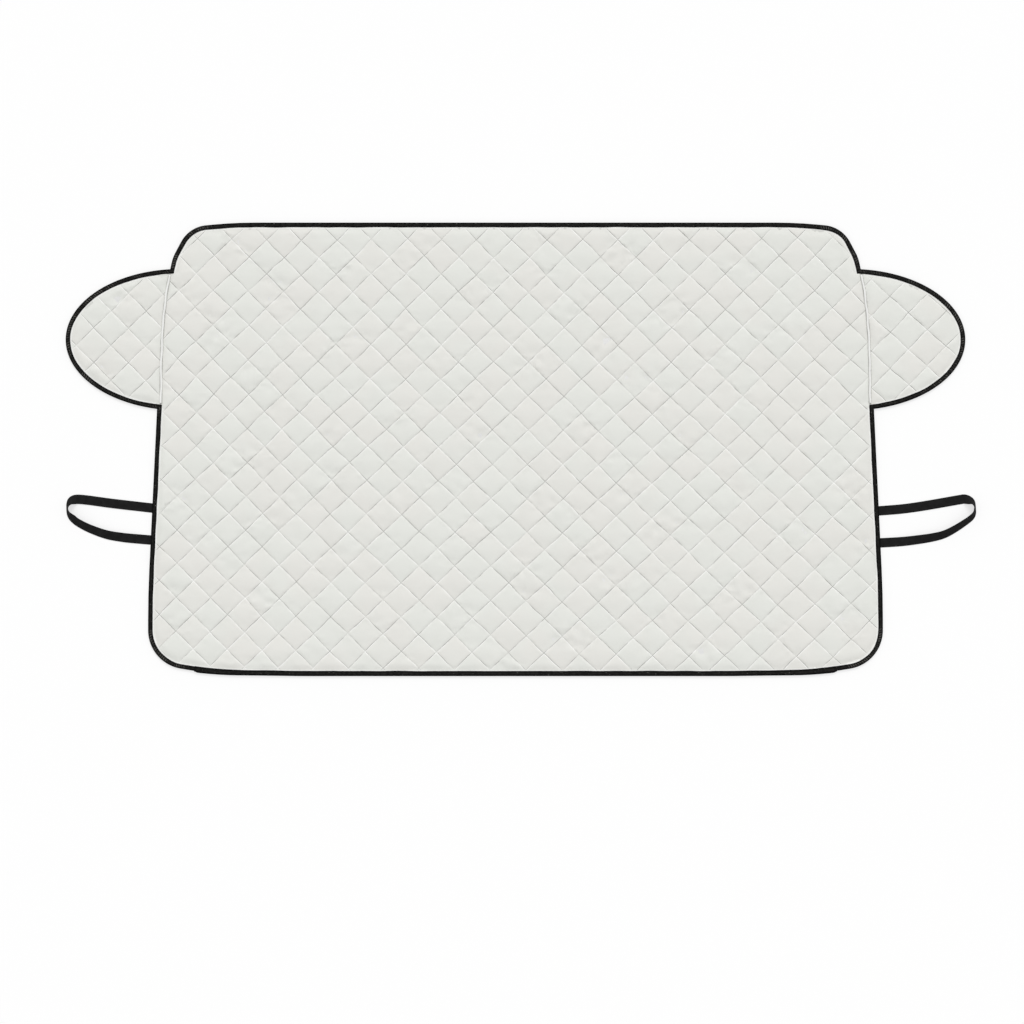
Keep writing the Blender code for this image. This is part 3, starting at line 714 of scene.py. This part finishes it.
    def map_quilting(self, mesh):
        """The lattice coordinates, for the finish: a UV layer that counts stitch lines."""
        places = np.empty(len(mesh.vertices) * 3)
        mesh.vertices.foreach_get("co", places)
        plan = places[0::3] + 1j * places[1::3]
        counts = np.stack(self.quilting.coordinates(plan), axis=1)
        corners = np.empty(len(mesh.loops), int)
        mesh.loops.foreach_get("vertex_index", corners)
        layer = mesh.uv_layers.new(name="quilting")
        layer.data.foreach_set("uv", counts[corners].ravel())
        tape, seam = self.from_edges(plan)
        note(mesh, "margin", tape - PRESSED_MARGIN)
        note(mesh, "beside", np.minimum(seam, 1.0))

    def stitches(self, finish):
        """Thread along every stitch line, one bead a stitch."""
        reaches = self.reaches()
        centres, headings = [], []
        for turned in (False, True):
            first, last = reaches[turned]
            start, end = reaches[not turned]
            lines = np.arange(first, last + 1.0)
            along = np.arange(start, end, STITCH_STEP / self.quilting.pitch)
            line, place = (part.ravel() for part in np.meshgrid(lines, along, indexing="ij"))
            place = place + self.source.normal(0.0, 0.004, len(place))
            here, there = (self.quilting.points(*(pair[::-1] if turned else pair))
                           for pair in ((line, place), (line, place + 0.02)))
            centres.append(here)
            headings.append((there - here) / abs(there - here))
        centres, headings = np.concatenate(centres), np.concatenate(headings)
        kept = inside(centres, self.outline)
        centres, headings = centres[kept], headings[kept]
        tape, seam = self.from_edges(centres)
        kept = (tape > STITCH_FROM_TAPE) & (seam > STITCH_FROM_SEAM)
        return beads(self.name + "_thread", centres[kept], headings[kept], FABRIC_Z + STITCH_LIFT,
                     STITCH_LENGTH, THREAD, finish)


def closed_skin(name, upper, lower, ring, finish):
    """A closed piece from an upper and a lower net that share their outline."""
    plan, top, faces = upper
    back, below, back_faces = lower
    count = len(plan)
    points = [(p.real, p.imag, z) for p, z in zip(plan, top)]
    points += [(p.real, p.imag, z) for p, z in zip(back, below)]
    everything = list(faces)
    everything += [[count + i for i in reversed(face)] for face in back_faces]
    for i in range(ring):
        after = (i + 1) % ring
        everything.append([i, count + i, count + after, after])
    return new_piece(name, points, everything, finish)


def beads(name, centres, headings, height, length, thickness, finish):
    """Short pointed beads of thread lying along their headings."""
    points, faces = [], []
    for centre, heading in zip(centres, headings):
        start = len(points)
        across = heading * 1j * thickness
        for end in (centre - heading * length / 2, centre + heading * length / 2):
            points.append((end.real, end.imag, height - thickness))
        for offset, lift in ((across, 0.0), (0j, thickness), (-across, 0.0), (0j, -thickness)):
            place = centre + offset
            points.append((place.real, place.imag, height + lift))
        for i in range(4):
            here, there = start + 2 + i, start + 2 + (i + 1) % 4
            faces.append([start, here, there])
            faces.append([start + 1, there, here])
    return new_piece(name, points, faces, finish)


# Tape, piping and webbing: sections swept along lines


def swept(name, sections, travelled, shares, finish):
    """A piece through equally many-sided sections, each anticlockwise seen from where it is going.

    Its UV layer holds the metres travelled along it, and each corner's share of the way across.
    """
    sections = np.asarray(sections)
    count, sides, _ = sections.shape
    faces = []
    run = []
    for i in range(count - 1):
        here, there = i * sides, (i + 1) * sides
        for k in range(sides):
            after = (k + 1) % sides
            faces.append([here + k, here + after, there + after, there + k])
            run += [(travelled[i], shares[k]), (travelled[i], shares[after])]
            run += [(travelled[i + 1], shares[after]), (travelled[i + 1], shares[k])]
    faces.append(list(range(sides))[::-1])
    faces.append(list(range((count - 1) * sides, count * sides)))
    run += [(travelled[0], share) for share in shares[::-1]] + [(travelled[-1], share) for share in shares]
    piece = new_piece(name, sections.reshape(-1, 3).tolist(), faces, finish)
    layer = piece.data.uv_layers.new(name="run")
    layer.data.foreach_set("uv", np.asarray(run).ravel())
    return piece


TAPE_SECTION = (  # share of the width in from the edge, height in millimetres: down the inside, then round
    (1.0, 4.42), (0.5, 4.42), (0.16, 4.36), (0.118, 3.9), (0.112, 2.7), (0.118, 1.5), (0.16, 0.96), (0.5, 0.70),
    (1.0, 0.56), (1.0, 0.16), (0.97, 0.04), (0.80, 0.12), (0.5, 0.0), (0.2, 0.04), (0.07, 0.35), (0.012, 1.1),
    (0.0, 2.0), (0.0, 3.4), (0.012, 4.2), (0.07, 4.92), (0.2, 5.28), (0.45, 5.40), (0.66, 5.30), (0.80, 5.10),
    (0.90, 5.16), (0.97, 5.06), (1.0, 4.90),
)


TAPE_STEP = 0.0017
TAPE_SWAY = 0.00022
TAPE_RISE = 0.00006
PUCKER = 0.00040  # how high the tape puckers where it goes round a corner
PUCKER_LENGTH = 0.0068
PUCKER_SPREAD = 0.02
TIGHT_BEND = 0.09  # the tape puckers fully where its bend has this radius or less
PALE_SLANT_LENGTH = 0.0052  # the spacing of the pale slanting marks on the bent tape


def folded_tape(name, path, width, proud, ends, finish):
    """Tape folded over the edge. Its lower leg lifts over the webbing's ends."""
    path = np.asarray(path)
    source = np.random.default_rng([SEED, TAPE_SEED + len(name)])
    travelled = distance_run(path)
    sway = Ripples(source, 0.06).at(travelled + 0j) * TAPE_SWAY
    rise = Ripples(source, 0.025).at(travelled + 3j) * TAPE_RISE
    unsteady = Ripples(source, 0.045).at(travelled + 5j)
    pucker = bent(path, travelled) * (0.75 + 0.25 * Ripples(source, 0.05).at(travelled + 7j))
    lift = np.zeros(len(path))
    for end in ends:
        lift = np.maximum(lift, 1 - smooth_step((abs(path - end) - WEBBING_WIDTH / 2) / 0.004))
    sections = []
    share, height = np.asarray(TAPE_SECTION).T
    above = smooth_step((height - 4.5) / 0.6)
    below = 1 - smooth_step(height / 2.6)
    crown = np.clip(4 * share * (1 - share), 0.0, 1.0)
    for i, (point, inward, out) in enumerate(zip(path, mitres(path), proud)):
        place = point + inward * (share * (width + sway[i] + out) - out)
        fold = np.sin(2 * math.pi * (travelled[i] / PUCKER_LENGTH + 1.1 * share) + unsteady[i])
        folded = pucker[i] * PUCKER * crown * (fold - 0.3)
        z = height / 1000 + lift[i] * WEBBING_LIFT * below + above * (rise[i] + folded)
        sections.append(np.stack([place.real, place.imag, z], axis=1))
    piece = swept(name, sections, travelled, share, finish)
    note(piece.data, "bend", np.repeat(pucker, len(share)))
    return piece


def bent(path, travelled):
    """How tightly a path bends, from 0 where it is straight to 1 in its rounded corners."""
    ahead = np.diff(path)
    turn = np.concatenate([[0.0], abs(np.angle(ahead[1:] / ahead[:-1])), [0.0]])
    spread = max(3, round(PUCKER_SPREAD / (travelled[-1] / len(path))))
    turn = np.convolve(np.minimum(turn, 0.05), np.ones(spread) / spread, mode="same")
    return np.clip(turn * len(path) / travelled[-1] * TIGHT_BEND, 0.0, 1.0)


def tape_stitches(name, path, inset, finish):
    """Black stitches along the tape, a straight run near its inner edge."""
    line = np.asarray(resampled(path, TAPE_STITCH_STEP))
    centres = line + mitres(line) * inset
    headings = np.gradient(centres)
    headings = headings / abs(headings)
    return beads(name, centres, headings, TAPE_STITCH_Z, TAPE_STITCH_LENGTH, TAPE_THREAD, finish)


PIPING_STEP = 0.003
PIPING_SIDES = 16
PIPING_SWAY = 0.00040
PIPING_FAT = 0.03


def piping(name, seam, finish):
    """A covered cord along the seam, a little unsteady in its line and its thickness."""
    line = np.asarray(resampled(seam, PIPING_STEP))
    source = np.random.default_rng([SEED, PIPING_SEED + len(name)])
    sway = Ripples(source, 0.05).at(line) * PIPING_SWAY
    fat = 1 + Ripples(source, 0.02).at(line) * PIPING_FAT
    shares = np.arange(PIPING_SIDES) / PIPING_SIDES
    across = np.cos(2 * math.pi * shares) * PIPING_WIDTH / 2
    up = np.sin(2 * math.pi * shares)
    sections = []
    for point, left, swayed, size in zip(line, mitres(line), sway, fat):
        place = point - left * (across * size + swayed)
        z = PIPING_Z + PIPING_HEIGHT / 2 * (1 + up * size)
        sections.append(np.stack([place.real, place.imag, z], axis=1))
    return swept(name, sections, distance_run(line), shares, finish)


WEBBING_STEP = 0.0028


def smooth_through(points, steps):
    """A Catmull-Rom curve through the points."""
    padded = [2 * points[0] - points[1], *points, 2 * points[-1] - points[-2]]
    curve = []
    for a, b, c, d in zip(padded, padded[1:], padded[2:], padded[3:]):
        for step in range(steps):
            t = step / steps
            bend = (2 * a - 5 * b + 4 * c - d) * t**2 + (3 * b - a - 3 * c + d) * t**3
            curve.append(b + ((c - a) * t + bend) / 2)
    return curve + [points[-1]]


def loop_line(cover, route, side):
    """The webbing's middle line on the floor, from its upper sewn end to its lower one."""
    points = [complex(side * (cover.flank_x(y) + reach), y) for reach, y in route]
    first, last = (end + (end - before) / abs(end - before) * SEWN_LENGTH
                   for end, before in ((points[0], points[1]), (points[-1], points[-2])))
    line = smooth_through([first, *points, last], 12)
    return np.asarray(resampled(line, WEBBING_STEP))


RIBS = 11
RIB = ((0.0, 0.62), (0.28, 0.95), (0.5, 1.0), (0.72, 0.95))  # share of the way across a rib, share of its height


def webbing_outline():
    """The ribbed section: shares of the half width, and of the half thickness."""
    upper = [(-1 + 2 * (rib + share) / RIBS, height) for rib in range(RIBS) for share, height in RIB]
    upper.append((1.0, RIB[0][1]))
    upper = [(across, height * min(1.0, 0.55 + 6 * (1 - abs(across)))) for across, height in upper]
    return upper[::-1] + [(across, -height) for across, height in upper]


def webbing(name, line, side, lean, finish):
    """Webbing along the line: flat where it is sewn, on its edge at the far turn, leaning after it."""
    travelled = distance_run(line)
    tip = travelled[int(np.argmax(side * line.real))]
    heading = np.gradient(line)
    heading = heading / abs(heading)
    across, up = np.asarray(webbing_outline()).T
    source = np.random.default_rng([SEED, WEBBING_SEED + len(name)])
    wave = Ripples(source, 0.045).at(travelled + 0j)
    sections = []
    for i, point in enumerate(line):
        rising = smooth_step((travelled[i] - tip + TWIST_RUN) / TWIST_RUN)
        falling = smooth_step((travelled[i] - tip) / UNTWIST_RUN)
        left_to_go = (travelled[-1] - SEWN_LENGTH - travelled[i]) / (travelled[-1] - SEWN_LENGTH - tip)
        leaning = lean * min(1.0, max(0.0, left_to_go))
        roll = STEEPEST * (rising - falling) + leaning * falling
        out = heading[i] * 1j * side
        to_end = min(travelled[i], travelled[-1] - travelled[i])
        pressed = 0.5 + 0.5 * smooth_step((to_end - SEWN_LENGTH) / PRESSED_RUN)
        free = smooth_step((to_end - FREE_FROM) / FREE_RUN)
        half = WEBBING_WIDTH / 2
        thick = WEBBING / 2 * pressed
        z = half * math.sin(roll) + thick * math.cos(roll) + free * FREE_LIFT * (1 + wave[i])
        right = across * half
        face = up * thick
        place = point - 1j * heading[i] * right * math.cos(roll) + out * face * math.sin(roll)
        height = z + side * right * math.sin(roll) + face * math.cos(roll)
        sections.append(np.stack([place.real, place.imag, height], axis=1))
    return swept(name, sections, travelled, across, finish)


# Finishes


class Wire:
    """A value inside a finish, to do arithmetic on."""

    def __init__(self, nodes, socket):
        self.nodes = nodes
        self.socket = socket

    def math(self, operation, *others):
        return self.nodes.node("ShaderNodeMath", {"operation": operation}, self, *others)

    def __rsub__(self, other):
        return self.nodes.node("ShaderNodeMath", {"operation": "SUBTRACT"}, other, self)

    __add__ = __radd__ = partialmethod(math, "ADD")
    __sub__ = partialmethod(math, "SUBTRACT")
    __mul__ = __rmul__ = partialmethod(math, "MULTIPLY")
    floor = partialmethod(math, "FLOOR")
    fraction = partialmethod(math, "FRACT")
    sine = partialmethod(math, "SINE")
    least = partialmethod(math, "MINIMUM")
    most = partialmethod(math, "MAXIMUM")

    def ramp(self, low, high, first=0.0, last=1.0):
        """A smooth rise from first to last as the value goes from low to high."""
        settings = {"interpolation_type": "SMOOTHSTEP"}
        return self.nodes.node("ShaderNodeMapRange", settings, self, low, high, first, last)

    def mix(self, first, second):
        """Between two colours."""
        node = self.nodes.add("ShaderNodeMix", {"data_type": "RGBA"})
        for value, socket in ((self, "Factor"), (first, 6), (second, 7)):
            self.nodes.join(value, node.inputs[socket])
        return Wire(self.nodes, node.outputs[2])


class Nodes:
    """A tree of shader nodes, built from expressions."""

    def __init__(self, tree):
        self.tree = tree

    def add(self, kind, settings=None):
        node = self.tree.nodes.new(kind)
        for setting, value in (settings or {}).items():
            setattr(node, setting, value)
        return node

    def join(self, value, socket):
        if isinstance(value, Wire):
            self.tree.links.new(value.socket, socket)
        else:
            socket.default_value = (*value, 1.0) if isinstance(value, tuple) else value

    def node(self, kind, settings=None, *values, output=0, **named):
        """A node with its settings, then its inputs in order or by name; gives one of its outputs."""
        node = self.add(kind, settings)
        for socket, value in zip(node.inputs, values):
            self.join(value, socket)
        for name, value in named.items():
            self.join(value, node.inputs[name])
        return Wire(self, node.outputs[output])


class Finish(Nodes):
    """A material whose shader is built from expressions."""

    def __init__(self, name, roughness, shine=0.5):
        self.material = bpy.data.materials.new(name)
        self.material.use_nodes = True
        super().__init__(self.material.node_tree)
        self.shader = self.tree.nodes["Principled BSDF"]
        self.set("Roughness", roughness)
        self.set("Specular IOR Level", shine)

    def set(self, socket, value):
        self.join(value, self.shader.inputs[socket])

    def place(self):
        """Where on the cover a point is, in metres."""
        return self.node("ShaderNodeTexCoord", output="Object")

    def parts(self, vector):
        split = self.add("ShaderNodeSeparateXYZ")
        self.join(vector, split.inputs[0])
        return [Wire(self, socket) for socket in split.outputs]

    def mapped(self, layer):
        """The two values of a UV layer."""
        return self.parts(self.node("ShaderNodeUVMap", {"uv_map": layer}))[:2]

    def noted(self, name):
        """The value that each point of the mesh was given under this name."""
        return self.node("ShaderNodeAttribute", {"attribute_name": name}, output=2)

    def noise(self, size, detail=2.0):
        """A soft field from 0 to 1 with features about this many metres across."""
        return self.node("ShaderNodeTexNoise", None, Vector=self.place(), Scale=1 / size, Detail=detail)

    def weave(self, size):
        """A plain weave, from -1 to 1, with threads this far apart."""
        x, y, _ = self.parts(self.place())
        number = 2 * math.pi / size
        return (x * number).sine() * (y * number).sine()

    def relief(self, height, depth):
        """Bumps this deep, in metres, where the height goes from 0 to 1."""
        self.set("Normal", self.node("ShaderNodeBump", None, Strength=1.0, Distance=depth, Height=height))


FINE_WEAVE = 2 * math.pi / 9000  # the spacing of the shell's threads


def shell_fabric():
    """Off-white woven cloth. Each diamond has its own tint; beside the stitch lines the diamonds' lower edges
    carry painted shade and their upper edges a painted highlight, as from the key light at the top, with a pale
    strip beside the tape and painted shade beside the piping.
    """
    finish = Finish("shell_fabric", 0.9, shine=0.2)
    falling, rising = finish.mapped("quilting")
    cell = finish.node("ShaderNodeCombineXYZ", None, falling.floor(), rising.floor(), 0.0)
    luck = finish.node("ShaderNodeTexWhiteNoise", {"noise_dimensions": "3D"}, cell)
    drift = finish.noise(0.10, 1.0)
    tint = (luck * 0.6 + drift * 0.9).ramp(0.55, 0.95)
    cloth = tint.mix((0.764, 0.773, 0.734), (0.771, 0.765, 0.728))
    one = falling.fraction()
    two = rising.fraction()
    lower = one.least(1.0 - two)
    upper = two.least(1.0 - one)
    margin = finish.noted("margin")
    # Patchiness of the painted shade along the stitch lines.
    sewing = finish.noise(0.026, 2.0).ramp(0.38, 0.62, 0.12, 1.0)
    # Patchiness of the painted highlight along the stitch lines.
    pale_patches = finish.noise(0.033, 2.0).ramp(0.38, 0.62, 0.15, 1.0)
    open_cloth = margin.ramp(0.0005, 0.003)
    # Painted highlight: the diamonds' upper edges beside the stitch lines are painted paler, as where they face
    # the key light at the top.
    wear_and_painted_highlight = upper.ramp(0.024, 0.044, 0.8, 0.0) * pale_patches * open_cloth
    seam_light_and_shade = wear_and_painted_highlight.mix(cloth, (0.91, 0.91, 0.89))
    # Painted shade: the diamonds' lower edges beside the stitch lines are painted dark, as where the diamond
    # above shades the groove from the key light.
    painted_seam_shade = lower.ramp(0.013, 0.025, 0.95, 0.0) * sewing * open_cloth
    seam_light_and_shade = painted_seam_shade.mix(seam_light_and_shade, (0.30, 0.30, 0.28))
    pressed = margin.ramp(0.0008, 0.0030, 0.75, 0.0).mix(seam_light_and_shade, (0.93, 0.93, 0.91))
    # Painted shade: a grey line on the cloth just beside the piping, where the bead shades the groove.
    pressed = finish.noted("beside").ramp(0.0021, 0.0040, 0.55, 0.0).mix(pressed, (0.45, 0.45, 0.42))
    blotch = finish.noise(0.035, 3.0).ramp(0.40, 0.80, 0.0, 0.16)
    finish.set("Base Color", blotch.mix(pressed, (0.66, 0.665, 0.625)))
    wrinkle = finish.noise(0.009, 3.0)
    gathers = finish.noise(0.0065, 1.0) * lower.least(upper).ramp(0.02, 0.20, 1.0, 0.0)
    handled = finish.noise(0.055, 2.0).ramp(0.50, 0.68, 1.6, 4.6)
    finish.relief(finish.weave(FINE_WEAVE) * 0.05 + wrinkle + gathers * handled, 0.00024)
    return finish.material


def plain_cloth(name, colour, roughness, size, depth):
    """Cloth of one colour with a fine weave."""
    finish = Finish(name, roughness, shine=0.2)
    darker = tuple(part * 0.88 for part in colour)
    finish.set("Base Color", finish.noise(size * 40).mix(colour, darker))
    finish.relief(finish.weave(size) * 0.5 + finish.noise(size * 12, 3.0), depth)
    return finish.material


def twill_tape():
    """Near-black tape: fine twill, with painted shade towards its rounded edges and a lighter top, a little
    wear, pale slanting marks on its puckered bends, and a little lint.
    """
    finish = Finish("twill_tape", 0.85, shine=0.06)
    along, across = finish.mapped("run")
    ridges = ((along + across * 0.0035) * 3900.0).sine() * 0.5 + 0.5
    # Painted shade: darker towards both rounded edges of the tape, lighter along its top where the key light
    # falls.
    middle = across.ramp(0.10, 0.45) * across.ramp(0.55, 0.92, 1.0, 0.0)
    wear_and_painted_highlight = finish.noise(0.006, 4.0).ramp(0.30, 0.75, 0.2, 1.0)
    black = (middle * wear_and_painted_highlight).mix((0.0025, 0.0025, 0.0025), (0.018, 0.0175, 0.016))
    bend = finish.noted("bend").ramp(0.06, 0.45)
    slanted = (along * (2 * math.pi / PALE_SLANT_LENGTH) + across * 5.0).sine().ramp(0.0, 0.9)
    pale_patches = slanted * bend * middle * finish.noise(0.012, 2.0).ramp(0.40, 0.60, 0.15, 1.0)
    black = pale_patches.mix(black, (0.10, 0.097, 0.09))
    lint = finish.noise(0.0026, 1.0).ramp(0.735, 0.765, 0.0, 0.9)
    finish.set("Base Color", lint.mix(black, (0.30, 0.30, 0.28)))
    finish.relief(ridges, 0.00010)
    return finish.material


def ribbed_webbing():
    """Black webbing: lengthwise ribs crossed by fine picks of the weave."""
    finish = Finish("ribbed_webbing", 0.8, shine=0.1)
    along, across = finish.mapped("run")
    rib = ((across + 1.0) * (math.pi * RIBS)).sine()
    rib = rib * rib
    pick = (along * 2600.0).sine() * 0.5 + 0.5
    wear_and_painted_highlight = finish.noise(0.012, 4.0).ramp(0.30, 0.75)
    black = (rib * 0.6 + wear_and_painted_highlight * 0.4).mix((0.004, 0.004, 0.004), (0.017, 0.017, 0.017))
    finish.set("Base Color", black)
    finish.relief(pick * (rib * 0.7 + 0.3), 0.00016)
    return finish.material


def thread(name, colour):
    finish = Finish(name, 0.7, shine=0.2)
    finish.set("Base Color", colour)
    return finish.material


# Light, floor and camera


def lights():
    """Soft daylight from all round, and a broad key from the cover's top edge that brings the quilting out."""
    scene = bpy.context.scene
    scene.view_settings.view_transform = "Standard"
    world = bpy.data.worlds.new("studio")
    scene.world = world
    world.use_nodes = True
    world.node_tree.nodes.clear()
    nodes = Nodes(world.node_tree)
    seen, mirrored_ray, clear_ray = (nodes.node("ShaderNodeLightPath", output=kind) for kind in (
        "Is Camera Ray", "Is Glossy Ray", "Is Transmission Ray"))
    sky = nodes.node("ShaderNodeBackground", None, WHITE, SKY_STRENGTH)
    backdrop = nodes.node("ShaderNodeBackground", None, WHITE, 1.0)
    either = seen.most(mirrored_ray).most(clear_ray)
    blend = nodes.node("ShaderNodeMixShader", None, either, sky, backdrop)
    nodes.join(blend, nodes.add("ShaderNodeOutputWorld").inputs["Surface"])
    key = bpy.data.lights.new("key", "SUN")
    key.energy = KEY_STRENGTH
    key.angle = KEY_SPREAD
    holder = linked("key", key)
    holder.rotation_mode = "QUATERNION"
    holder.rotation_quaternion = Vector(KEY_HEADING).to_track_quat("Z", "Y")


def floor():
    """A white floor that keeps the shadow, and is see-through from below so that the underside shows."""
    mesh = bpy.data.meshes.new("floor")
    corners = [(x * FLOOR_REACH, y * FLOOR_REACH, FLOOR_Z) for x, y in ((-1, -1), (1, -1), (1, 1), (-1, 1))]
    mesh.from_pydata(corners, [], [(0, 1, 2, 3)])
    finish = Finish("floor", 0.9)
    finish.set("Base Color", (0.975, 0.975, 0.975))
    lit = Wire(finish, finish.shader.outputs[0])
    glow = finish.node("ShaderNodeLightPath", output="Is Camera Ray") * FLOOR_GLOW
    upper = finish.node("ShaderNodeMixShader", None, glow, lit, finish.node("ShaderNodeEmission"))
    back = finish.node("ShaderNodeNewGeometry", output="Backfacing")
    blend = finish.node("ShaderNodeMixShader", None, back, upper, finish.node("ShaderNodeBsdfTransparent"))
    finish.join(blend, finish.tree.nodes["Material Output"].inputs["Surface"])
    mesh.materials.append(finish.material)
    ground = linked("floor", mesh)


def camera():
    """Straight down, with the roof's edge of the cover at the top."""
    eye = bpy.data.cameras.new("camera")
    eye.sensor_width = SENSOR_WIDTH
    eye.lens = SENSOR_WIDTH * CAMERA_HEIGHT / VIEW_WIDTH
    holder = linked("camera", eye)
    holder.location = (*VIEW_CENTRE, CAMERA_HEIGHT)
    bpy.context.scene.camera = holder


# The cover


def split_at(chain, x):
    """A chain cut where it passes x, with that point in both halves."""
    for i, (here, there) in enumerate(zip(chain, chain[1:])):
        if (here.real - x) * (there.real - x) <= 0:
            middle = here + (there - here) * (x - here.real) / (there.real - here.real)
            return chain[:i + 1] + [middle], [middle] + chain[i + 1:]
    raise ValueError("the chain doesn't pass this x")


def lap_proud(lap, reach):
    """How far the bottom tape stands out: most near its ends, where it tucks in over its last millimetres."""
    tucked = LAP_TUCK * (1 - smooth_step((lap - reach) / LAP_TUCK_RUN))
    return float(BOTTOM_BINDING_PROUD + LAP_PROUD * (reach / lap) ** LAP_POWER * (1 - tucked))


def dress():
    cover = Outline()
    fabric = shell_fabric()
    fill = plain_cloth("wadding", (0.84, 0.84, 0.83), 0.95, 0.004, 0.0006)
    backing = plain_cloth("lining_fabric", (0.62, 0.63, 0.63), 0.8, 0.0012, 0.00015)
    cord_cloth = plain_cloth("seam_piping", (0.90, 0.90, 0.88), 0.8, 0.0009, 0.00008)
    tape = twill_tape()
    black_thread = thread("black_thread", (0.02, 0.02, 0.021))
    white_thread = thread("white_thread", (0.88, 0.88, 0.86))
    elastic = ribbed_webbing()

    crinkles = crinkled_patch()
    panels = [
        Panel("main", cover.main, (cover.left_seam, cover.right_seam), MAIN_QUILTING, crinkles),
        Panel("left_ear", cover.left_ear, (cover.left_seam,), LEFT_EAR_QUILTING, crinkles),
        Panel("right_ear", cover.right_ear, (cover.right_seam,), RIGHT_EAR_QUILTING, crinkles),
    ]
    for panel in panels:
        layers = [panel.fabric(fabric), panel.wadding(fill), panel.lining(backing)]
        for piece, node in zip(layers, ("_shell", "_padding", "_lining")):
            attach(piece, "root")
            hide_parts(panel.name + node)
        flat, area = panel.cut_size()
        stitches = panel.stitches(white_thread)
        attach(stitches, "root")

    right = cover.edge[:len(cover.edge) // 2 + 1]
    lap = BOTTOM_BINDING_SPAN / 2
    bottom_right = split_at(right, lap)[0]
    round_right = split_at(right, lap + BUTTED)[1]
    bottom = resampled(mirrored(bottom_right)[:-1] + bottom_right, TAPE_STEP)
    top = resampled(round_right + mirrored(round_right)[1:], TAPE_STEP)
    proud = [lap_proud(lap, abs(place.real)) for place in bottom]
    left_line = loop_line(cover, LEFT_LOOP, -1)
    right_line = loop_line(cover, RIGHT_LOOP, 1)
    ends = [left_line[0], left_line[-1], right_line[0], right_line[-1]]
    for name, path, width, out in (
            ("perimeter_binding", top, BINDING_WIDTH, [0.0] * len(top)),
            ("bottom_binding", bottom, BOTTOM_BINDING_WIDTH, proud)):
        piece = folded_tape(name + "_tape", path, width, out, ends, tape)
        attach(piece, "root")
        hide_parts(name)
        sewn = tape_stitches(name + "_stitches", path, width - TAPE_STITCH_INSET, black_thread)
        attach(sewn, "root")

    for name, seam in (("left_seam_piping", cover.left_seam), ("right_seam_piping", cover.right_seam)):
        bead = piping(name + "_bead", seam, cord_cloth)
        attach(bead, "root")
        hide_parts(name)

    for name, line, side, lean in (
            ("left_loop", left_line, -1, LEFT_LEAN), ("right_loop", right_line, 1, RIGHT_LEAN)):
        loop = webbing(name + "_webbing", line, side, lean, elastic)
        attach(loop, "root")
        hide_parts(name)


dress()
lights()
floor()
camera()
